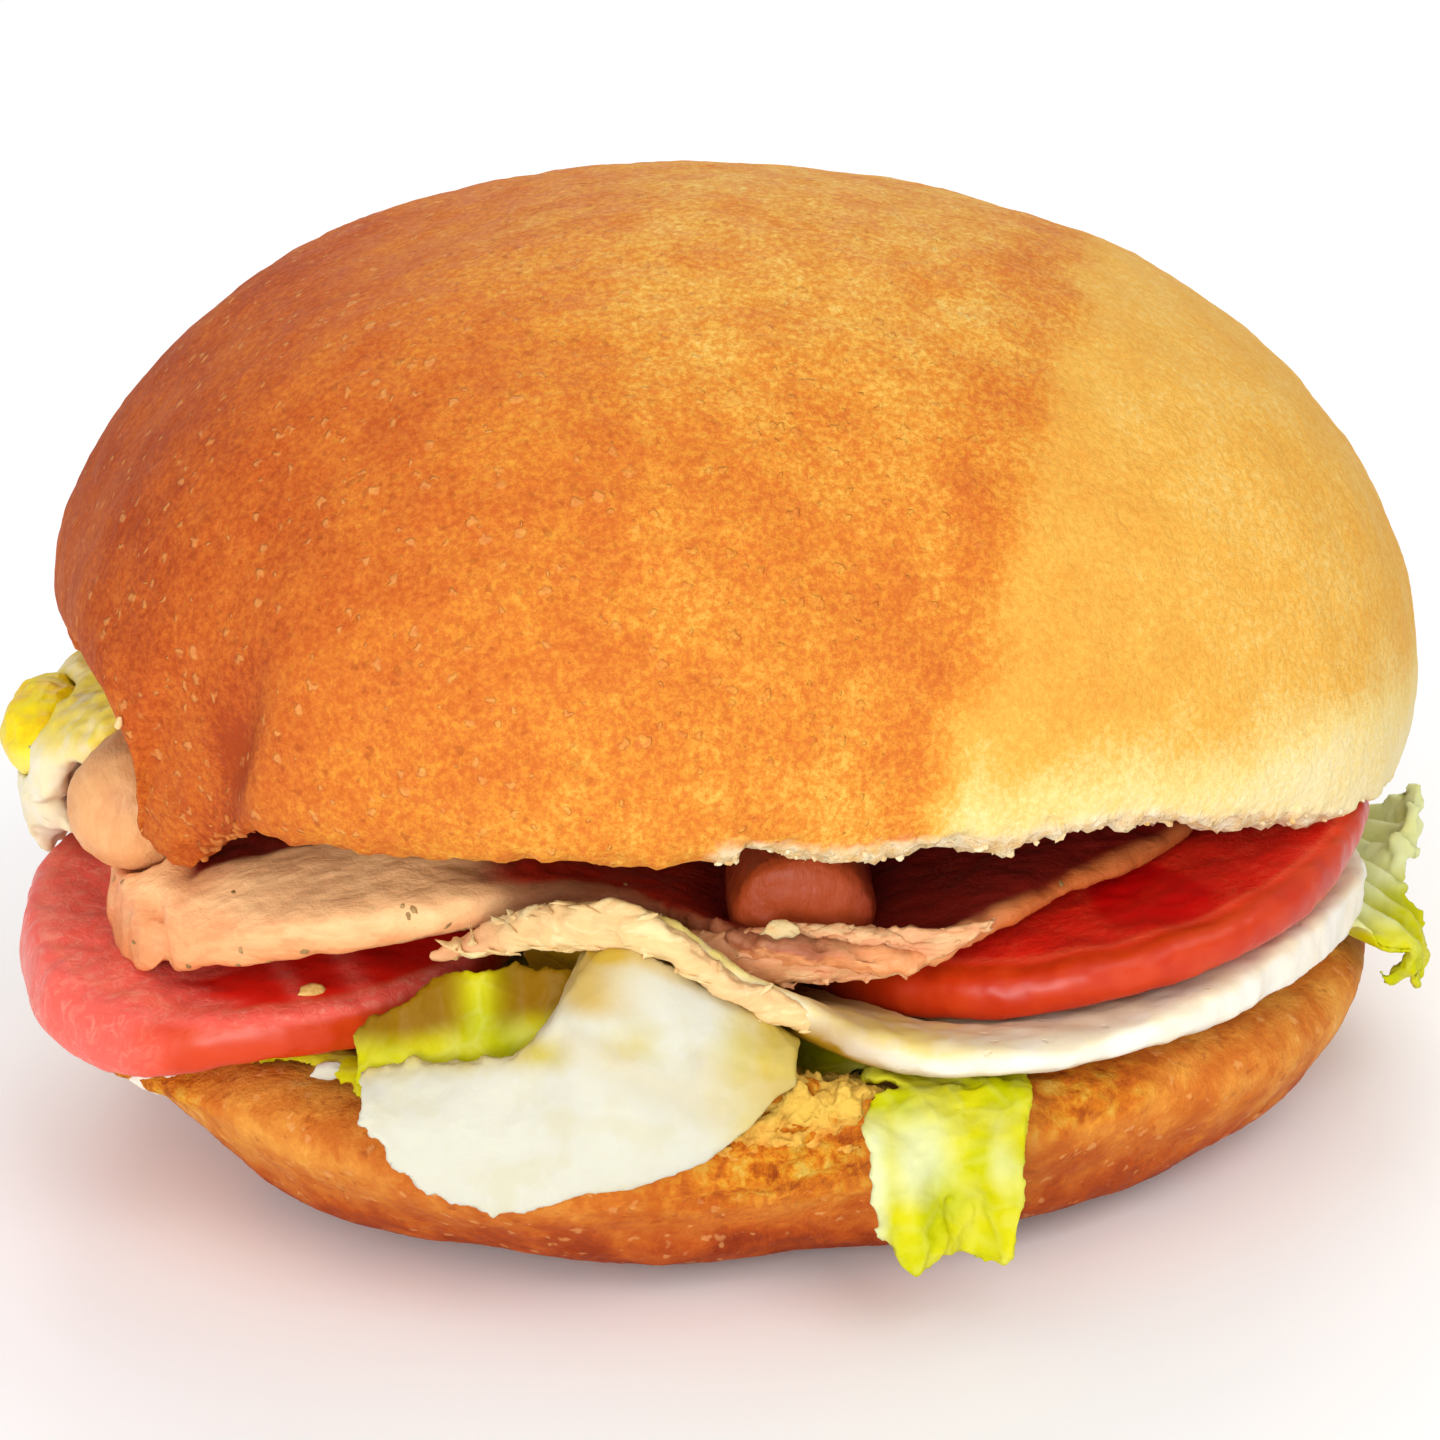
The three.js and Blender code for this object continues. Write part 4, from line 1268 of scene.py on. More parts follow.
@dataclass
class Crown(Piece):
    """Top half of the roll, with a torn rim at the right of the front.

    Attributes:
        lip_angle: Where the lip hangs down, in degrees from +X.
        lip_drop: How far it hangs down.
        lip_lean: How far its tip leans to the left, in degrees round the roll.
        crease_angle: Where the crease beside it runs.
    """

    lip_angle: float = -137.0
    lip_drop: float = 8.3
    lip_lean: float = 8.0
    crease_angle: float = -131.0

    @staticmethod
    def above_rim(points: np.ndarray, step: float = 4.0) -> np.ndarray:
        """Finds how high each point lies above the rim's edge on its side of the roll.

        Args:
            points: One point a row.
            step: Width of a side, in degrees.

        Returns:
            One height a point.
        """
        angle, reach = around(points)
        turn = (angle + 180) / step
        count = int(360 / step)
        side = turn.astype(int) % count
        low = np.array([points[(reach > 47) & (side == s), 2].min() for s in range(count)])
        sides = np.arange(-1, count + 1)
        return points[:, 2] - np.interp(turn, sides + 0.5, low[sides % count])

    def torn_share(self, points: np.ndarray) -> np.ndarray:
        """Finds how torn the rim is.

        Args:
            points: One point a row.

        Returns:
            One share a point.
        """
        angle, reach = around(points)
        front = ease(-94, -88, angle) * ease(-24, -34, angle)
        return front * ease(3.4, 1.2, self.above_rim(points)) * ease(46, 50, reach)

    def lip_share(self, points: np.ndarray) -> np.ndarray:
        """Finds how much each point belongs to the lip that hangs down at the front's left.

        Args:
            points: One point a row.

        Returns:
            One share a point, below 0 where the rim beside the lip is lifted.
        """
        angle, reach = around(points)
        above = self.above_rim(points)
        beside = angle - self.lip_angle - 3.5 * ease(0, 12, above)
        tongue = ease(-7.5, -3.5, beside) * ease(8.5, 1.5, beside)
        tongue = np.maximum(tongue, 0.1 * ease(0, 4, beside) * ease(32, 20, beside))
        lifted = 0.35 * ease(-28, -18, beside) * ease(-6.5, -10, beside)
        return (tongue - lifted) * ease(45, 51, reach) * ease(15, 1, above)

    def crease_share(self, points: np.ndarray) -> np.ndarray:
        """Finds how deep each point lies in the crease beside the lip.

        Args:
            points: One point a row.

        Returns:
            One share a point.
        """
        angle, reach = around(points)
        z = points[:, 2]
        return bell(angle - 0.35 * (z - 46), self.crease_angle, 2.6) * ease(57, 46, z) * ease(40, 47, reach)

    def shape(self) -> None:
        """Pulls the lip down, tears the rim and opens the crumb of the cut face."""
        points = points_of(self.model)
        lip = self.lip_share(points)
        crease = self.crease_share(points)
        hanging = np.maximum(lip, 0)
        points[:, 2] -= self.lip_drop * lip
        turn = -np.radians(self.lip_lean) * hanging**1.5
        x, y = points[:, 0] * (1 - 0.03 * hanging), points[:, 1] * (1 - 0.03 * hanging)
        points[:, 0] = x * np.cos(turn) - y * np.sin(turn)
        points[:, 1] = x * np.sin(turn) + y * np.cos(turn)
        points -= 1.9 * crease[:, None] * normals_of(self.model)
        move_points(self.model, points)
        torn = self.torn_share(points)
        self.press(torn, Relief(4.2, 2.0, Push.UPWARDS), Relief(1.7, 1.9, Push.UPWARDS), Relief(1.1, 1.3))
        self.press(0.9 * hanging**2, Relief(2.4, 1.8))
        self.press(0.9 * hanging, Relief(1.1, 0.8))
        self.press(ease(-0.3, -0.8, normals_of(self.model)[:, 2]), Relief(2.2, 1.4))

    def masks(self) -> dict[str, np.ndarray]:
        """Finds where crumb shows, on the cut face and the torn rim, where the lip is, and where the crease
        takes painted shade.

        Returns:
            The masks by name.
        """
        points = points_of(self.model)
        angle, reach = around(points)
        down = ease(-0.35, -0.75, normals_of(self.model)[:, 2])
        share = np.hypot(points[:, 0] / 58, points[:, 1] / 54)
        baked = ease(-162, -156, angle) * ease(-112, -120, angle) * ease(42, 45, reach)
        inside = down * ease(0.95, 0.9, share) * (1 - baked)
        torn = ease(0.35, 0.75, self.torn_share(points))
        return {
            "crumb": np.maximum(inside, torn),
            "lip": np.maximum(self.lip_share(points), 0) ** 2,
            # painted shade along the crease
            "crease": self.crease_share(points),
        }


@dataclass
class Heel(Piece):
    """Bottom half of the roll, torn at the middle of the front."""

    @staticmethod
    def torn_share(points: np.ndarray) -> np.ndarray:
        """Finds how torn the crust is.

        Args:
            points: One point a row.

        Returns:
            One share a point.
        """
        x, y, z = points.T
        middle = bell(x, 4, 9.5) * ease(8, 12, z)
        right = 0.8 * bell(x, 28, 7) * ease(11.5, 14, z)
        left = 0.8 * ease(-41, -45, x) * ease(10.5, 12.5, z) * ease(-12, -20, y)
        return np.maximum(ease(-36, -44, y) * np.clip(middle + right, 0, 1), left)

    def shape(self) -> None:
        """Roughens the torn places, widens the foot and draws the left rim out."""
        torn = self.torn_share(points_of(self.model))
        self.press(torn, Relief(2.0, 2.4, stretch=(3.2, 1.0, 0.9)), Relief(1.1, 1.2, stretch=(2.2, 1.0, 0.8)))
        points = points_of(self.model)
        angle, reach = around(points)
        _, y, z = points.T
        out = 2.6 * ease(8, 1.5, z) * ease(-8, -30, y) * ease(36, 42, reach)
        out += 3.0 * bell(angle, -152, 10) * bell(z, 13.2, 1.3) * ease(44, 50, reach)
        points[:, :2] *= (1 + out / np.maximum(reach, 1))[:, None]
        points[:, 2] = np.maximum(z, 0)
        move_points(self.model, points)

    def masks(self) -> dict[str, np.ndarray]:
        """Finds where the crust is torn and where the cut face's crumb shows.

        Returns:
            The masks by name.
        """
        points = points_of(self.model)
        x, y, z = points.T
        up = ease(0.5, 0.8, normals_of(self.model)[:, 2])
        cut = up * ease(13, 15, z) * ease(0.88, 0.82, np.hypot(x / 56, y / 53))
        return {"torn": self.torn_share(points), "crumb": cut}


@dataclass
class Rasher(Piece):
    """Slice of back bacon, with fibres along its length."""

    def shape(self) -> None:
        """Presses soft fibres and a fold into the meat and tears its thin strip."""
        self.press(None, Relief(1.6, 0.25, stretch=(3.0, 1.2, 1.0)))
        points = points_of(self.model)
        x, _, z = points.T
        corner = ease(-40, -46, x) * ease(28.5, 24.5, z)
        points += corner[:, None] * np.array((-1.4, -0.5, -2.2))
        groove = bell(x + 0.15 * (z - 28), -45.6, 0.8) * ease(5, 2, behind_front(points))
        groove = groove * ease(23.0, 25.5, z)
        points -= 1.5 * groove[:, None] * normals_of(self.model)
        move_points(self.model, points)
        strip = ease(-12, -2, x) * ease(24, 14, x) * ease(3.5, 1.5, behind_front(points))
        self.press(strip, Relief(1.6, 1.8))

    def masks(self) -> dict[str, np.ndarray]:
        """Finds where the meat is browned, where fat and painted light lie on its top, and where painted
        shade lies under the crown, dark or reddish.

        Returns:
            The masks by name.
        """
        points = points_of(self.model)
        x, y, z = points.T
        upward = normals_of(self.model)[:, 2]
        behind = behind_front(points)
        up = ease(0.0, 0.5, upward)
        seen = ease(-0.6, -0.1, upward)
        right = 0.9 * ease(15, 26, x)
        fold = 0.7 * bell(x, -43.0, 2.6) * ease(29.5, 31.5, z)
        # low: browner lower face, partly painted shade against the strong light on it.
        low = 0.38 * ease(30.0, 28.0, z) + 0.15 * ease(27.0, 25.5, z)
        # inside, and the shade under the lobe below: painted shade in the gaps under the crown.
        inside = ease(1.2, 2.8, behind) * up * ease(-24, -15, x)
        inside = np.maximum(inside, 0.72 * ease(-20.5, -15, x) * ease(12, 6, x) * seen)
        past_line = y + 30.2 - 0.19 * (x + 41.8)
        shade_under_lobe = ease(-0.3, 0.6, past_line) * ease(-43.6, -42.0, x) * up
        return {
            "browned": np.clip(right + fold + low, 0, 1),
            "deep": np.clip(inside + shade_under_lobe, 0, 1),
            # fatty: the top's fat, partly painted light under the crown's shade.
            "fatty": 0.9 * ease(29.0, 31.0, z) * ease(-8, -16, x),
            # reddish painted shade left of the middle sausage.
            "gap_shaded": 0.92 * ease(-20.5, -15, x) * ease(0, -4, x) * seen * ease(1.2, 2.2, behind),
        }


@dataclass
class Sausage(Piece):
    """Thin browned sausage.

    Attributes:
        browned: How browned its skin is, from 0 to 1.
        shift: How far it lies from its solid.
        dark_from: Where along Y the painted shade inside the roll begins.
        dark_right: Where along X the painted shade of its right side begins.
        red_above: Height above which it is red.
        squash: How flat its front end is pressed, from 0 to 1.
    """

    browned: float
    shift: Triple
    dark_from: float
    dark_right: float
    red_above: float
    squash: float = 0.0

    def shape(self) -> None:
        """Settles the sausage against its neighbours and wrinkles its skin across."""
        points = points_of(self.model) + np.array(self.shift)
        _, y, z = points.T
        front = ease(-18, -32, y)
        z += self.squash * front * np.maximum((z.min() + z.max()) / 2 - z, 0)
        y -= 9.0 * self.squash * front
        if self.squash:
            y += 0.65 * np.maximum(-39.0 - y, 0)
        move_points(self.model, points)
        self.press(None, Relief(1.3, 0.35, stretch=(1.0, 5.0, 1.0)))

    def masks(self) -> dict[str, np.ndarray]:
        """Finds how browned the skin is, the painted shade inside the roll and on its right side, and its
        deep red top.

        Returns:
            The masks by name.
        """
        x, y, z = points_of(self.model).T
        # inside and side are painted shade; red turns the top deep red.
        inside = 0.8 * ease(self.dark_from, self.dark_from + 12, y)
        side = 0.6 * ease(self.dark_right, self.dark_right + 4, x)
        red = 0.6 * ease(self.red_above, self.red_above + 2, z)
        return {"browned": np.full(len(x), self.browned), "deep": np.clip(inside + side + red, 0, 1)}


@dataclass
class TomatoSlice(Piece):
    """Slice of tomato, with sunken gel and a smooth skin.

    Attributes:
        lobes: How many chambers it has.
        lobe_turn: How far these are turned, in radians.
        fleshy_left: Whether its left end is flesh without skin, which sinks.
    """

    lobes: int
    lobe_turn: float
    fleshy_left: bool = False

    def shares(self) -> tuple[np.ndarray, np.ndarray]:
        """Finds where each point lies in the slice.

        Returns:
            How far it is from the middle, 1 at the edge, and how deep it lies in a chamber.
        """
        points = points_of(self.model)
        low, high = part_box(self.node)
        middle = (low + high) / 2 / MM
        half = (high - low) / 2 / MM
        x = (points[:, 0] - middle.x) / half.x
        y = (points[:, 1] - middle.y) / half.y
        share = np.hypot(x, y)
        chamber = np.clip(np.cos(self.lobes * (np.arctan2(y, x) + self.lobe_turn)), 0, 1)
        return share, chamber * bell(share, 0.62, 0.2)

    def shape(self) -> None:
        """Lets the fleshy end sink onto the heel's edge."""
        if self.fleshy_left:
            points = points_of(self.model)
            sunk = ease(-36, -50, points[:, 0]) * ease(25.5, 20.5, points[:, 2])
            move_points(self.model, points + sunk[:, None] * np.array((-0.9, -0.5, -2.3)))

    def masks(self) -> dict[str, np.ndarray]:
        """Finds the skin's band, the gel of the chambers and the narrow painted highlight inside the skin.

        Returns:
            The masks by name.
        """
        x, y, z = points_of(self.model).T
        share, chamber = self.shares()
        upward = normals_of(self.model)[:, 2]
        skin = np.maximum(ease(0.75, 0.45, np.abs(upward)) * ease(0.86, 0.93, share), ease(0.9, 0.94, share))
        gel = ease(0.02, 0.3, chamber)
        if self.fleshy_left:
            ripple = 2.5 * np.sin(0.9 * y) + 1.5 * np.sin(2.3 * y + 1)
            wall = bell(x + 0.35 * y, -41.5, 1.0) + bell(x + 0.4 * y, -48.5, 0.8)
            gel = ease(0.92, 0.88, share) * (1 - 0.7 * wall) * ease(-44, -39, x + 0.6 * ripple)
            skin = skin * ease(-49, -42, x + ripple) * ease(22.4, 21.6, z)
        # painted highlight on the top face, just inside the skin
        rim_highlight = bell(share, 0.9, 0.014) * ease(0.5, 0.9, upward)
        return {"gel": np.clip(gel, 0, 1), "skin": skin, "rim_highlight": rim_highlight}


@dataclass
class EggWhite(Piece):
    """Cooked white of the fried egg."""

    def shape(self) -> None:
        """Feathers the crest that leans on the leaf, and waves the edge."""
        x, _, z = points_of(self.model).T
        crest = ease(4, -4, x) * ease(25, 28, z)
        self.press(crest, Relief(2.8, 1.2, Push.UPWARDS))
        edge = ease(0.8, 0.4, np.abs(normals_of(self.model)[:, 2])) * (1 - crest)
        self.press(edge, Relief(4.0, 0.9))

    def masks(self) -> dict[str, np.ndarray]:
        """Finds the yellow tinge of its edge, with a painted reflection of the tomato, and the olive painted
        shade below.

        Returns:
            The masks by name.
        """
        x, y, z = points_of(self.model).T
        upward = normals_of(self.model)[:, 2]
        crest = bell(x, -10, 9) * ease(27, 30, z)
        top = 0.25 * ease(0.3, 0.8, upward)
        # inner: yellow next to the tomato is a painted reflection of its red; the second bell blends the
        # crest's tail.
        inner = 0.7 * bell(x, 13, 6) * ease(0.0, 0.5, upward)
        inner = inner + 0.6 * bell(x, 1, 7) * ease(23, 25, z)
        # low and gap: olive painted shade on the underside and in the gap above the leaf.
        low = 0.5 * ease(-0.2, -0.8, upward) * ease(-38, -44, y)
        gap = bell(x, 4, 7) * ease(25.5, 23, z) + ease(0.2, -0.2, upward) * ease(2, -4, x)
        return {"yellow": np.clip(0.8 * crest + top + inner, 0, 1), "green": np.clip(low + gap, 0, 1)}


@dataclass
class LeftEgg(Piece):
    """White of the egg that is folded over the left end of the filling."""

    def shape(self) -> None:
        """Lifts the white's front corner and waves its edge."""
        points = points_of(self.model)
        corner = ease(-6, -14, points[:, 1]) * ease(33, 28, points[:, 2])
        move_points(self.model, points + corner[:, None] * np.array((-1.4, 1.8, 2.6)))
        self.press(ease(0.8, 0.4, np.abs(normals_of(self.model)[:, 0])), Relief(2.6, 1.6))

    def masks(self) -> dict[str, np.ndarray]:
        """Returns its yellow top and the green tinge below."""
        z = points_of(self.model)[:, 2]
        return {"yellow": 0.35 + 0.65 * ease(35, 38.5, z), "green": 0.08 * ease(33, 29, z)}


@dataclass
class Yolk(Piece):
    """Yolk that sits in the folded white."""

    def shape(self) -> None:
        """Swells the yolk a little, so that it meets the white."""
        points = points_of(self.model)
        middle = points.mean(axis=0)
        move_points(self.model, middle + (points - middle) * np.array((1.0, 1.08, 1.08)))

    def masks(self) -> dict[str, np.ndarray]:
        """Returns where the yolk turns pale, towards its lower edge."""
        return {"pale": 0.28 * ease(36.5, 34.0, points_of(self.model)[:, 2])}


@dataclass
class Leaf(Piece):
    """Piece of lettuce.

    Attributes:
        ragged: How ragged its edge is.
        pleat: How far the sheet swings to and fro.
        pleat_width: How wide one swing is.
        crease_depth: How deep the creases are.
        creases: Lines pressed into the sheet, each from one X and Z to another.
        thinned: How much each face of the sheet is taken back.
    """

    ragged: float
    pleat: float = 0.0
    pleat_width: float = 5.0
    crease_depth: float = 0.0
    creases: tuple[tuple[Pair, Pair], ...] = ()
    thinned: float = 0.0

    def sinking(self, points: np.ndarray) -> np.ndarray:
        """Returns how much lower each point hangs than in the solid."""
        return np.zeros(len(points))

    def tearing(self, points: np.ndarray) -> np.ndarray:
        """Returns where along its edge the sheet is ragged."""
        return np.ones(len(points))

    def greenness(self, points: np.ndarray) -> np.ndarray:
        """Returns how green the leaf is at each point."""
        return np.ones(len(points))

    def shading(self, points: np.ndarray) -> np.ndarray:
        """Returns how much painted shade each point takes, deep in its folds."""
        return np.zeros(len(points))

    def facing(self) -> np.ndarray:
        """Finds the direction that most of the sheet faces.

        Returns:
            A direction of length 1.
        """
        normals = normals_of(self.model)
        values, axes = np.linalg.eigh(normals.T @ normals)
        return axes[:, int(np.argmax(values))]

    def shape(self) -> None:
        """Creases, bends and pleats the sheet and makes its outer edge ragged."""
        normals = normals_of(self.model)
        points = points_of(self.model) - self.thinned * normals
        x, y, z = points.T
        for start, end in self.creases:
            y += self.crease_depth * bell(line_distance(points, start, end), 0, 1.6)
        z -= self.sinking(points)
        wave = np.sin(2 * math.pi / self.pleat_width * (x + y + 0.35 * z))
        points += self.pleat * wave[:, None] * self.facing()
        move_points(self.model, points)
        edge = ease(0.85, 0.5, np.abs(normals @ self.facing())) * self.tearing(points)
        self.press(edge, Relief(2.1, self.ragged), Relief(0.9, 0.5 * self.ragged))

    def masks(self) -> dict[str, np.ndarray]:
        """Returns how green the leaf is and how deep in shade."""
        points = points_of(self.model)
        return {"green": np.clip(self.greenness(points), 0, 1), "shade": np.clip(self.shading(points), 0, 1)}


@dataclass
class Flap(Leaf):
    """Pale thick leaf, or rib, that hangs over the front of the heel."""

    def sinking(self, points: np.ndarray) -> np.ndarray:
        """Returns the drop of the upper left edge, above which the green fold shows."""
        return 3.3 * ease(-11.5, -18, points[:, 0]) * ease(14, 24, points[:, 2])

    def tearing(self, points: np.ndarray) -> np.ndarray:
        """Returns a ragged left end and a smooth edge elsewhere."""
        return 0.2 + 0.8 * ease(-14, -19, points[:, 0])

    def greenness(self, points: np.ndarray) -> np.ndarray:
        """Finds the green along the flap's upper edge and at its right lobe.

        Args:
            points: One point a row.

        Returns:
            One share a point.
        """
        x, _, z = points.T
        top = bell(z, 21.6 + 0.13 * (x + 25), 1.1) * ease(-11, -15, x)
        lobe = 0.9 * ease(0, 3, x) * ease(19, 21.5, z)
        tint = 0.5 * bell(x, -7.5, 2.0) * bell(z, 24.0, 1.6)
        return 0.8 * top + np.maximum(lobe, 0.6 * ease(-2.5, 1.5, x)) + tint

    def shading(self, points: np.ndarray) -> np.ndarray:
        """Finds the painted shade: brownish at the rib's upper left and along its upper edge, at the right
        lobe and along its creases.

        Args:
            points: One point a row.

        Returns:
            One share a point.
        """
        x, _, z = points.T
        # thin: painted shade at the rib's upper left and along its upper edge.
        thin = 0.85 * bell(x, -10.8, 3.2) * ease(25.5, 27.5, z)
        thin = thin + 0.6 * ease(29.4, 30.4, z + 0.55 * np.maximum(x + 7, 0))
        lines = [0.2 * bell(line_distance(points, *crease), 0, 1.4) for crease in self.creases]
        return thin + 0.35 * ease(0, 3.5, x) + np.sum(lines, axis=0)


@dataclass
class Fold(Leaf):
    """Yellow green fold of leaf to the left of the flap."""

    def shading(self, points: np.ndarray) -> np.ndarray:
        """Returns olive shade above and behind the flap, but for one bright facet."""
        lit = 1 - bell(points[:, 0], -19.2, 1.6)
        return 0.06 + 0.86 * lit * ease(21.8, 24.2, points[:, 2] - 0.12 * (points[:, 0] + 19))


@dataclass
class Tongue(Leaf):
    """Green tongue of leaf that hangs over the heel, right of the flap."""

    def sinking(self, points: np.ndarray) -> np.ndarray:
        """Returns the drop of the right lobe."""
        return 2.5 * bell(points[:, 0], 20.8, 2.2) * ease(13, 8.5, points[:, 2])

    def greenness(self, points: np.ndarray) -> np.ndarray:
        """Finds green at the top and in the hollow below, pale in between and at the left edge.

        Args:
            points: One point a row.

        Returns:
            One share a point.
        """
        x, _, z = points.T
        facet = 1.2 * bell(x, 13.9, 2.4) * bell(z, 14.8, 2.5)
        left = 0.8 * ease(12.0, 10.4, x) * ease(18, 16, z)
        right = 0.6 * bell(x, 20.2, 1.2) * bell(z, 14.4, 2.2)
        return 1.1 - 1.1 * np.clip(facet + left + right, 0, 1)


@dataclass
class Frill(Leaf):
    """Frilled leaf at the right end."""

    def greenness(self, points: np.ndarray) -> np.ndarray:
        """Returns a green leaf with a pale upper lobe."""
        return 1.0 - 0.85 * ease(16.5, 18.5, points[:, 2])


@dataclass
class Bed(Leaf):
    """Leaf that the filling lies on."""

    def shading(self, points: np.ndarray) -> np.ndarray:
        """Returns light shade all over."""
        return np.full(len(points), 0.15)


# Small things


def crumb_shape() -> bpy.types.Object:
    """Models one torn crumb, a millimetre across.

    Returns:
        The crumb.
    """
    bpy.ops.mesh.primitive_ico_sphere_add(subdivisions=2, radius=0.5 * MM)
    shape = bpy.context.object
    Relief(0.45, 0.5).press(shape)
    return shape


def shard_shape() -> bpy.types.Object:
    """Models one torn shard that lies along X and thins out to its ends, a millimetre long.

    Returns:
        The shard.
    """
    bpy.ops.mesh.primitive_cube_add(size=MM)
    shape = bpy.context.object
    pick(shape)
    bpy.ops.object.mode_set(mode="EDIT")
    bpy.ops.mesh.select_all(action="SELECT")
    bpy.ops.transform.resize(value=(1.0, 0.4, 0.16))
    bpy.ops.mesh.subdivide(number_cuts=4, fractal=0.25, seed=3)
    bpy.ops.object.mode_set(mode="OBJECT")
    points = points_of(shape)
    share = np.clip(points[:, 0] * 2, -1, 1)
    points[:, 1] *= 1.05 - share**2
    points[:, 2] = points[:, 2] * (1.1 - share**2) - 0.12 * share**2
    move_points(shape, points)
    finish_with(shape, "SMOOTH", factor=0.5, iterations=1)
    return shape


@dataclass
class Scatter:
    """Copies of one small shape that lie on a surface and form one piece.

    Attributes:
        name: Name of the piece.
        slot: Its material slot in the record; not used.
        finish: Its material.
        seed: Start of its random draws.
        shape: Models the shape.
        fine: Size of the faces with which the copies run together; 0 for none.
    """

    name: str
    slot: str
    finish: bpy.types.Material
    seed: int
    shape: Callable[[], bpy.types.Object] = crumb_shape
    fine: float = 0.0

    def __post_init__(self) -> None:
        """Starts the random draws."""
        self.draw = np.random.default_rng(self.seed)
        self.places: list[Matrix] = []

    def lay(self, point: Triple, normal: Triple, size: Triple, tip: float, spread: float = math.pi) -> None:
        """Lays one copy on a surface.

        Args:
            point: The place on the surface.
            normal: The surface's normal there.
            size: Size of the copy along its own axes.
            tip: How far it may tip over, in radians.
            spread: How far it may turn away from level, in radians.
        """
        turn = Vector(normal).to_track_quat("Z", "Y").to_matrix().to_4x4()
        spin = Euler([self.draw.uniform(-most, most) for most in (tip, tip, spread)]).to_matrix().to_4x4()
        place = Matrix.Translation(Vector(point) * MM)
        self.places.append(place @ turn @ spin @ Matrix.Diagonal((*size, 1.0)))

    def cover(
        self,
        piece: bpy.types.Object,
        weight: np.ndarray,
        count: int,
        sizes: tuple[Pair, Pair, Pair],
        tip: float,
        spread: float = math.pi,
    ) -> None:
        """Lays copies at places drawn on a piece.

        Args:
            piece: What the copies lie on.
            weight: How likely each corner is.
            count: How many copies.
            sizes: Smallest and largest size along each of a copy's axes.
            tip: How far a copy may tip over, in radians.
            spread: How far it may turn away from level, in radians.
        """
        chance = weight + SMALL_CHANCE
        index = self.draw.choice(len(chance), size=count, replace=False, p=chance / chance.sum())
        for point, normal in zip(points_of(piece)[index], normals_of(piece)[index]):
            size = [low if low == high else self.draw.uniform(low, high) for low, high in sizes]
            self.lay(point, normal, size, tip, spread)

    def build(self) -> bpy.types.Object:
        """Copies the shape to every place, joins the copies and dresses them.

        Returns:
            The finished piece.
        """
        shape = self.shape()
        copies = [copy_mesh(shape, self.name) for _ in self.places]
        bpy.data.objects.remove(shape)
        for copy, place in zip(copies, self.places):
            copy.data.transform(place)
        pick(*copies)
        bpy.ops.object.join()
        model = bpy.context.object
        model.name = self.name
        if self.fine:
            melt(model, self.fine, 2)
        settle(model, self.finish)
        return model


@dataclass
class Band:
    """Flat torn band that runs along a path over the filling.

    Attributes:
        name: Name of the piece.
        slot: Its material slot in the record; not used.
        finish: Its material.
        path: Middle of the band at each station, X, Y and Z, and half its height there.
        thickness: Half its thickness.
        lean: How far its top leans back, in degrees.
        teeth: How ragged its edges are.
    """

    name: str
    slot: str
    finish: bpy.types.Material
    path: tuple[tuple[float, float, float, float], ...]
    thickness: float
    lean: float
    teeth: float

    def sweep(self) -> bpy.types.Object:
        """Extrudes a flat ring from station to station and closes it.

        Returns:
            The plain band.
        """
        bpy.ops.object.select_all(action="DESELECT")
        upright = (0, math.pi / 2, 0)
        bpy.ops.mesh.primitive_circle_add(vertices=12, radius=MM, fill_type="NGON", rotation=upright)
        model = bpy.context.object
        model.name = self.name
        bpy.ops.object.transform_apply(location=False, rotation=True, scale=True)
        pick(model)
        bpy.ops.object.mode_set(mode="EDIT")
        bpy.ops.mesh.select_all(action="SELECT")
        here = Vector((0.0, 0.0, 0.0))
        tall = 1.0
        bpy.ops.transform.resize(value=(1.0, self.thickness, 1.0), center_override=here)
        bpy.ops.transform.rotate(value=math.radians(self.lean), orient_axis="X", center_override=here)
        for index, (*middle, half) in enumerate(self.path):
            station = Vector(middle) * MM
            if index:
                bpy.ops.mesh.extrude_region_move(TRANSFORM_OT_translate={"value": station - here})
            else:
                bpy.ops.transform.translate(value=station - here)
            bpy.ops.transform.resize(value=(1.0, (half / tall) ** 0.5, half / tall), center_override=station)
            here, tall = station, half
        bpy.ops.mesh.select_all(action="SELECT")
        bpy.ops.mesh.normals_make_consistent(inside=False)
        bpy.ops.object.mode_set(mode="OBJECT")
        return model

    def build(self) -> bpy.types.Object:
        """Makes the band, tears its edges and dresses it.

        Returns:
            The finished band.
        """
        model = self.sweep()
        refine(model, 0.25, 2)
        Relief(6.0, 1.2, Push.BENDING).press(model)
        edge = ease(0.75, 0.35, np.abs(normals_of(model)[:, 1]))
        Relief(1.2, 0.7, stretch=(4.0, 1.0, 1.0)).press(model)
        Relief(2.1, self.teeth, stretch=(1.2, 1.0, 1.6)).press(model, edge)
        Relief(0.8, 0.3 * self.teeth, Push.BENDING, (2.5, 1.0, 1.0)).press(model, edge)
        x = points_of(model)[:, 0]
        paint(model, {"browned": 0.3 * bell(x, 0.5, 3.5) + 0.8 * ease(-15.5, -20, x)})
        settle(model, self.finish)
        return model


# Stage


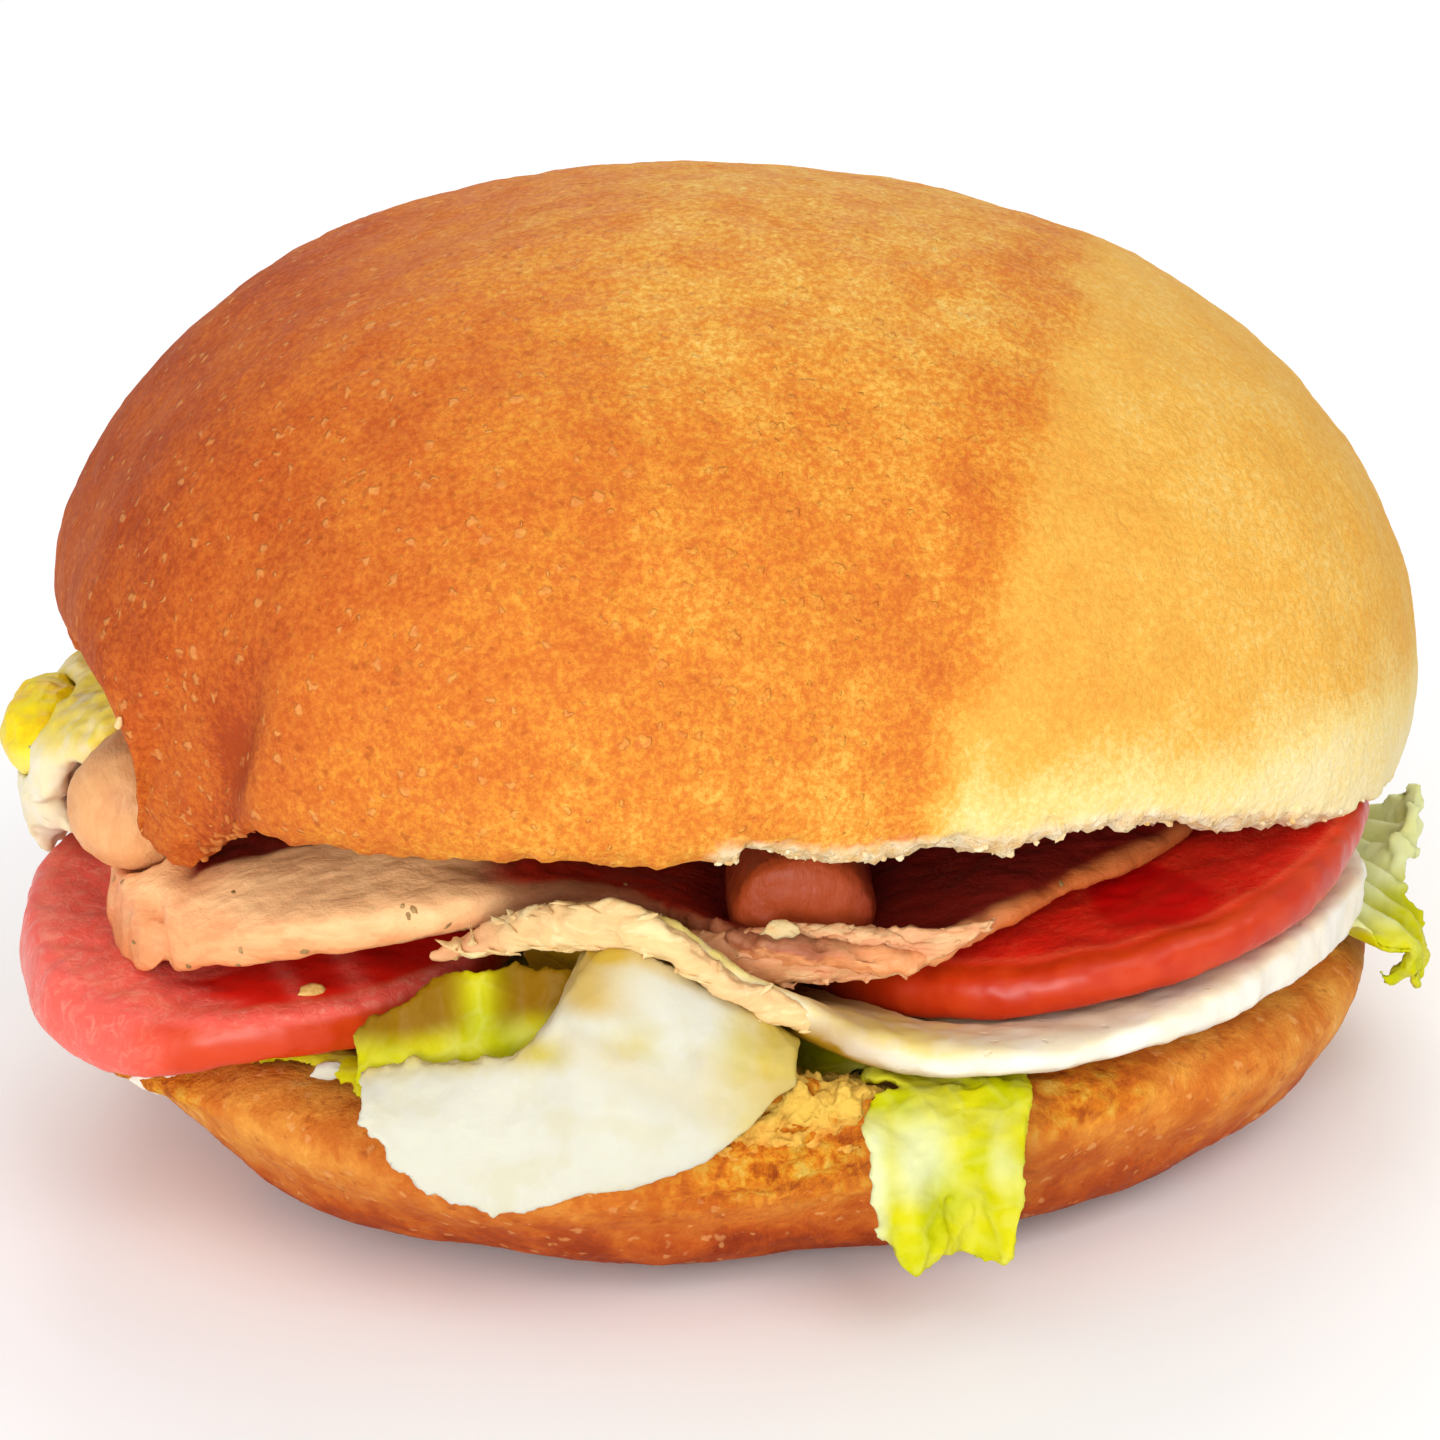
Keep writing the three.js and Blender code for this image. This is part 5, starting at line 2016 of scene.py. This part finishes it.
@dataclass
class Stage:
    """Pale floor, soft light and the camera at the photograph's angle.

    Attributes:
        distance: How far the camera is from what it looks at.
        elevation: How far it looks down, in degrees.
        roll: How far it is turned about its own axis, in degrees.
        lens: Its focal length.
        look: Where it looks, from the middle of the heel along X and Y, and the height.
        lights: Place in metres, side in metres and power in watts of each light, by its name.
        surroundings: Strength of the white light from all round.
    """

    distance: float = 318.0
    elevation: float = 20.0
    roll: float = 2.5
    lens: float = 90.0
    look: Triple = (-0.2, 0.15, 31.0)
    lights: dict[str, tuple[Triple, float, float]] = field(
        default_factory=lambda: {
            "key": ((0.3, -0.45, 0.52), 0.45, 1.5),
            "front": ((-0.22, -0.74, 0.24), 0.45, 2.8),
            "low": ((-0.14, -0.72, 0.075), 0.3, 1.35),
            "back": ((0.05, 0.6, 0.6), 0.6, 2.6),
        }
    )
    surroundings: float = 0.61

    def build(self) -> None:
        """Sets up camera, floor, lights and surroundings."""
        low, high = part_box("heel")
        middle = (low + high) / 2
        x, y, height = self.look
        target = Vector((middle.x + x * MM, middle.y + y * MM, height * MM))
        self.set_camera(target)
        self.lay_floor()
        for name, (place, size, power) in self.lights.items():
            self.hang_light(name, Vector(place), size, power, target)
        world = bpy.data.worlds.new("studio")
        world.use_nodes = True
        background = world.node_tree.nodes["Background"]
        background.inputs["Color"].default_value = (1.0, 1.0, 1.0, 1.0)
        background.inputs["Strength"].default_value = self.surroundings
        bpy.context.scene.world = world
        bpy.context.scene.view_settings.view_transform = "Standard"

    def set_camera(self, target: Vector) -> None:
        """Puts the camera where the photograph was taken from.

        Args:
            target: What it looks at, in metres.
        """
        tilt = math.radians(self.elevation)
        data = bpy.data.cameras.new("camera")
        data.lens = self.lens
        data.clip_start = 0.01
        camera = bpy.data.objects.new("camera", data)
        bpy.context.scene.collection.objects.link(camera)
        away = Vector((0, -math.cos(tilt), math.sin(tilt))) * self.distance * MM
        roll = Matrix.Rotation(-math.radians(self.roll), 3, "Z")
        turn = Euler((math.pi / 2 - tilt, 0, 0)).to_matrix() @ roll
        camera.matrix_world = Matrix.Translation(target + away) @ turn.to_4x4()
        bpy.context.scene.camera = camera

    @staticmethod
    def lay_floor() -> None:
        """Lays a wide pale floor under the roll."""
        bpy.ops.object.select_all(action="DESELECT")
        bpy.ops.mesh.primitive_plane_add(size=8.0)
        floor = bpy.context.object
        floor.name = "floor"
        material = bpy.data.materials.new("floor")
        material.use_nodes = True
        shader = material.node_tree.nodes["Principled BSDF"]
        shader.inputs["Base Color"].default_value = (0.97, 0.97, 0.97, 1.0)
        shader.inputs["Roughness"].default_value = 0.9
        shader.inputs["Specular IOR Level"].default_value = 0.1
        floor.data.materials.append(material)

    @staticmethod
    def hang_light(name: str, place: Vector, size: float, power: float, target: Vector) -> None:
        """Hangs one soft light.

        Args:
            name: The light's name.
            place: Where it hangs, in metres.
            size: Its side in metres.
            power: Its power in watts.
            target: What it faces, in metres.
        """
        data = bpy.data.lights.new(name, "AREA")
        data.size = size
        data.energy = power
        light = bpy.data.objects.new(name, data)
        bpy.context.scene.collection.objects.link(light)
        aim = (target - place).to_track_quat("-Z", "Y").to_matrix().to_4x4()
        light.matrix_world = Matrix.Translation(place) @ aim


# The whole roll


class Finishes:
    """Every finish of the roll, made once."""

    def __init__(self) -> None:
        """Makes the materials."""
        effects = Effects()
        bread = Surface(0.66, 0.12, 0.22, subsurface=0.06, depth=(1.2, 0.6, 0.3))
        wet = Surface(0.35, 0.25, 0.16, subsurface=0.1, depth=(2.5, 0.3, 0.2), coat=0.1, film=0.25)
        meaty = Surface(0.5, 0.2, 0.11, subsurface=0.1, depth=(1.0, 0.4, 0.3), coat=0.08, film=0.3)
        smooth = Surface(0.48, 0.2, 0.12, subsurface=0.08, depth=(1.0, 0.4, 0.3), coat=0.1, film=0.3)
        waxy = Surface(0.46, 0.08, 0.16, subsurface=0.15, depth=(1.2, 1.2, 0.3), coat=0.03, film=0.3)
        eggy = Surface(0.42, 0.2, 0.14, subsurface=0.2, depth=(1.5, 1.1, 0.6), coat=0.1, film=0.25)
        self.crown = CrownCrust("crown_crust", bread).make(effects)
        self.heel = HeelCrust("heel_crust", bread).make(effects)
        self.crumb = Crumb("torn_crumb", bread).make(effects)
        self.brown_crumb = Crumb("brown_crumb", bread, (150, 66, 26), (216, 128, 60)).make(effects)
        self.golden_crumb = GoldenCrumb("golden_crumb", bread, (222, 122, 30), (250, 190, 84)).make(effects)
        self.bacon = Meat("bacon", meaty, fat_share=0.35, flecked=0.16).make(effects)
        tanned = ((238, 172, 112), (186, 78, 34), (246, 190, 130))
        self.sausage = Meat("sausage", smooth, *tanned, squeeze=(1.0, 0.22, 0.3), fat_share=0.4).make(effects)
        fatty = ((246, 206, 142), (240, 168, 118), (250, 228, 170))
        self.torn_fat = Meat("torn_fat", meaty, *fatty, fat_share=0.7).make(effects)
        ragged = ((234, 164, 114), (208, 126, 84), (252, 216, 160))
        self.torn_meat = Meat("torn_meat", meaty, *ragged).make(effects)
        self.tomato = TomatoFlesh("tomato", wet).make(effects)
        self.pink_tomato = TomatoFlesh(
            "pink_tomato", wet, (250, 100, 84), (240, 34, 20), (214, 62, 18), (255, 170, 146)
        ).make(effects)
        self.egg = CookedEgg("egg_white", eggy).make(effects)
        self.left_egg = CookedEgg("left_egg_white", eggy, tinge=(252, 226, 84)).make(effects)
        self.yolk = CookedYolk("yolk", eggy).make(effects)
        # The rib's last colour is its painted shade.
        self.rib = Lettuce(
            "lettuce_rib", waxy, (218, 216, 198), (206, 180, 36), (200, 180, 40), (206, 170, 62)
        ).make(effects)
        self.leaf = Lettuce("lettuce_leaf", waxy).make(effects)
        self.herbs = Plain("herbs", Surface(0.7, 0.5, 0.15), (150, 114, 58), (200, 160, 100)).make(effects)
        self.seeds = Plain("tomato_seeds", wet, (226, 150, 70), (246, 206, 120)).make(effects)


def build_bread(finishes: Finishes) -> tuple[Crown, Heel]:
    """Builds both halves of the roll.

    Args:
        finishes: The roll's finishes.

    Returns:
        The crown and the heel.
    """
    soft = (Relief(15.0, 0.9), Relief(3.2, 0.32), Relief(1.3, 0.14))
    crown = Crown("crown", "crust", finishes.crown, 0.65, 8, soft, name="crown_crust")
    heel = Heel("heel", "heel_crust", finishes.heel, 0.62, 8, soft, name="heel_crust")
    return crown.build(), heel.build()


def build_filling(finishes: Finishes) -> bpy.types.Object:
    """Builds meat, tomato and egg.

    Args:
        finishes: The roll's finishes.

    Returns:
        The slice of bacon at the front.
    """
    meat = (Relief(5.5, 0.9), Relief(2.0, 0.4))
    skin = (Relief(7.0, 0.7), Relief(2.2, 0.2))
    flesh = (Relief(4.5, 0.6), Relief(1.6, 0.22))
    white = (Relief(6.0, 0.8), Relief(2.0, 0.25))
    crumbly = (Relief(3.5, 1.4), Relief(1.1, 0.4))
    bacon = ("bacon", finishes.bacon)
    front = Rasher("rasher_front", *bacon, 0.42, 5, meat, name="bacon_front").build()
    Rasher("rasher_back", *bacon, 0.5, 5, meat, name="bacon_back").build()
    sausage = ("sausage", finishes.sausage, 0.42, 6, skin)
    Sausage("sausage_middle", *sausage, 1.0, (0.2, 2.4, -4.6), -41.0, 8.5, 33.5, squash=0.35).build()
    Sausage("sausage_left", *sausage, 0.0, (-1.2, 0.0, 0.0), -14.0, 20.0, 39.0).build()
    pink, red = finishes.pink_tomato, finishes.tomato
    TomatoSlice("tomato_left", "tomato", pink, 0.45, 6, flesh, 5, 0.5, fleshy_left=True).build()
    TomatoSlice("tomato_right", "tomato", red, 0.45, 6, flesh, 6, 0.2).build()
    TomatoSlice("tomato_back", "tomato", red, 0.5, 6, flesh, 5, 1.1).build()
    EggWhite("egg_white", "egg_white", finishes.egg, 0.5, 5, white).build()
    LeftEgg("egg_left_white", "egg_white", finishes.left_egg, 0.4, 6, white).build()
    Yolk("egg_left_yolk", "yolk", finishes.yolk, 0.3, 4, crumbly).build()
    return front.model


def build_lettuce(finishes: Finishes) -> None:
    """Builds the lettuce.

    Args:
        finishes: The roll's finishes.
    """
    crumple = (Relief(5.0, 1.6, Push.BENDING), Relief(2.2, 0.35, Push.BENDING))
    gentle = (Relief(8.0, 1.2, Push.BENDING), Relief(1.8, 0.12))
    fine = crumple[1:]
    rib = ("lettuce_rib", finishes.rib, 0.3, 4)
    leaf = ("lettuce_leaf", finishes.leaf, 0.28, 3)
    low = ("lettuce_leaf", finishes.leaf, 0.44, 3)
    flap_lines = (((-12.5, 24.6), (-1.0, 18.8)), ((-2.0, 22.2), (5.0, 19.2)))
    tongue_lines = (((16.8, 17.0), (14.8, 10.0)), ((18.2, 11.0), (18.6, 4.0)))
    Flap("lettuce_flap", *rib, gentle, 1.7, crease_depth=0.9, creases=flap_lines, thinned=0.1).build()
    Fold("lettuce_fold", *leaf, fine, 1.2).build()
    Tongue("lettuce_tongue", *leaf, crumple, 1.2, 0.35, 9.0, 1.1, tongue_lines).build()
    Frill("lettuce_frill", *leaf, crumple, 1.6, 0.7).build()
    Bed("lettuce_bed", *low, fine, 1.4, 0.6, 13.0).build()


def build_crumbs(finishes: Finishes, crown: Crown, heel: Heel) -> None:
    """Adds torn crumb along the crown's rim, on its lip and in the heel's tear.

    Args:
        finishes: The roll's finishes.
        crown: Top half of the roll.
        heel: Bottom half of the roll.
    """
    points = points_of(crown.model)
    above = crown.above_rim(points)
    rim = Scatter("rim_crumb", "crust", finishes.crumb, 11, fine=0.2)
    weight = crown.torn_share(points) * ease(2.4, 0.6, above)
    weight *= ease(0.3, -0.3, normals_of(crown.model)[:, 2])
    rim.cover(crown.model, weight, 120, ((0.4, 1.3), (0.3, 0.7), (0.3, 0.9)), 0.8)
    rim.build()
    lip = Scatter("lip_crumb", "crust", finishes.brown_crumb, 15, fine=0.2)
    weight = np.maximum(crown.lip_share(points), 0) ** 3 * ease(3.5, 0.5, above)
    lip.cover(crown.model, weight, 50, ((0.4, 1.2), (0.4, 0.8), (0.3, 0.8)), 0.7)
    lip.build()

    tear = Scatter("heel_crumb", "heel_crust", finishes.golden_crumb, 12, shard_shape, 0.18)
    points = points_of(heel.model)
    x, _, z = points.T
    weight = ease(-30, -20, x) * heel.torn_share(points) ** 2 * ease(13.5, 16.5, z) * ease(16, 12, x)
    tear.cover(heel.model, weight, 230, ((1.2, 3.8), (0.8, 2.2), (1.6, 5.5)), 0.7, 0.5)
    peaks = (
        (5.1, -48.6, 18.6),
        (4.4, -48.2, 17.6),
        (8.6, -48.9, 18.4),
        (9.2, -48.7, 17.4),
        (6.9, -48.6, 17.0),
    )
    for peak in peaks:
        for _ in range(3):
            tear.lay(peak, (0.0, -0.25, 1.0), (2.2, 2.0, tear.draw.uniform(9, 14)), 0.35, 0.8)
    Relief(0.8, 0.7, Push.BENDING).press(tear.build())


def build_herbs(finishes: Finishes, meat: bpy.types.Object) -> None:
    """Adds herb specks to the front slice of bacon.

    Args:
        finishes: The roll's finishes.
        meat: The slice.
    """
    normals = normals_of(meat)
    face = ease(0.1, 0.6, -normals[:, 1]) * ease(-14, -24, points_of(meat)[:, 0])
    herbs = Scatter("herb_specks", "bacon", finishes.herbs, 13)
    weight = face + 0.01 * ease(0.2, 0.7, normals[:, 2])
    herbs.cover(meat, weight, 20, ((0.3, 0.9), (0.25, 0.5), (0.12, 0.12)), 0.15)
    herbs.build()


def fray(shreds: Scatter, band: bpy.types.Object, count: int, length: Pair, most: float) -> None:
    """Lays torn shreds along a band's edges.

    Args:
        shreds: The shreds' piece.
        band: The band they lie on.
        count: How many shreds.
        length: Their shortest and longest length.
        most: Where along X most of them lie.
    """
    normals = normals_of(band)
    weight = ease(0.2, 0.7, np.abs(normals[:, 2])) * ease(0.3, -0.2, normals[:, 1])
    weight *= 0.15 + bell(points_of(band)[:, 0], most, 5)
    shreds.cover(band, weight, count, (length, (0.7, 1.5), (1.0, 2.2)), 0.3, 0.45)
    shreds.build()


def build_torn_edges(finishes: Finishes) -> None:
    """Adds the torn crest of the egg white and the frayed edge of the bacon.

    Args:
        finishes: The roll's finishes.
    """
    crest_path = (
        (-23.4, -39.9, 27.4, 0.3),
        (-21.0, -40.4, 28.3, 0.9),
        (-18.8, -41.0, 29.2, 1.2),
        (-16.6, -41.9, 30.2, 1.5),
        (-13.4, -43.7, 31.4, 2.0),
        (-10.3, -45.6, 32.2, 2.3),
        (-7.1, -47.2, 32.4, 2.0),
        (-4.2, -47.9, 31.3, 1.7),
        (-1.6, -47.9, 29.0, 1.5),
        (0.9, -47.8, 26.9, 1.4),
        (3.4, -47.5, 25.2, 1.3),
        (6.0, -47.3, 24.0, 1.0),
        (8.8, -46.7, 22.9, 0.4),
    )
    edge_path = (
        (-4.1, -42.3, 29.5, 0.5),
        (-1.7, -42.5, 28.1, 1.4),
        (1.2, -42.6, 27.6, 2.1),
        (5.4, -42.6, 27.6, 2.5),
        (9.3, -42.6, 27.6, 2.4),
        (13.1, -42.8, 27.4, 2.0),
        (15.8, -42.8, 27.6, 1.4),
        (18.2, -42.6, 28.3, 0.8),
        (21.0, -42.0, 29.6, 0.3),
    )
    crest = Band("egg_crest", "egg_white", finishes.torn_fat, crest_path, 0.8, 14.0, 1.0).build()
    edge = Band("bacon_edge", "bacon", finishes.torn_meat, edge_path, 0.7, 10.0, 1.2).build()
    shreds = Scatter("meat_fringe", "bacon", finishes.torn_meat, 14, shard_shape, 0.18)
    fray(shreds, edge, 100, (1.4, 3.8), 9.0)
    shreds = Scatter("crest_fringe", "egg_white", finishes.torn_fat, 16, shard_shape, 0.18)
    fray(shreds, crest, 44, (1.6, 4.2), -18.0)


def build_bits(finishes: Finishes) -> None:
    """Adds the tomato seed and the small bits that lie between the pieces.

    Args:
        finishes: The roll's finishes.
    """
    front = (0.0, -1.0, 0.35)
    up = (0.05, -0.15, 1.0)
    seed = (((-33.0, -35.8, 23.3), (2.5, 1.5, 0.8)),)
    cream = (
        ((4.3, -43.4, 29.4), (3.6, 2.6, 1.2)),
        ((5.6, -43.5, 28.4), (2.4, 2.0, 1.0)),
        ((-46.3, -34.6, 46.0), (0.7, 1.2, 0.6)),
    )
    egg = (((-46.9, -29.6, 13.2), (4.4, 2.6, 1.6)), ((-45.3, -30.6, 13.8), (2.6, 1.6, 1.4)))
    leaf = (((-31.9, -38.0, 17.2), (3.0, 1.5, 1.0)),)
    bits = (
        (Scatter("tomato_seed", "tomato", finishes.seeds, 21, fine=0.15), up, seed),
        (Scatter("cream_bits", "bacon", finishes.torn_fat, 22, fine=0.15), front, cream),
        (Scatter("egg_bit", "egg_white", finishes.egg, 23, fine=0.15), front, egg),
        (Scatter("leaf_bit", "lettuce_rib", finishes.rib, 24, fine=0.15), front, leaf),
    )
    for scatter, facing, lumps in bits:
        for place, size in lumps:
            scatter.lay(place, facing, size, 0.15, 0.3)
        scatter.build()


def main() -> None:
    """Builds the roll and its stage in order."""
    logging.basicConfig(level=logging.INFO, format="%(name)s %(message)s")
    Stage().build()
    LOG.info("stage set")
    finishes = Finishes()
    LOG.info("finishes made")
    crown, heel = build_bread(finishes)
    bacon = build_filling(finishes)
    build_lettuce(finishes)
    build_crumbs(finishes, crown, heel)
    build_herbs(finishes, bacon)
    build_torn_edges(finishes)
    build_bits(finishes)


if __name__ == "__main__":
    main()
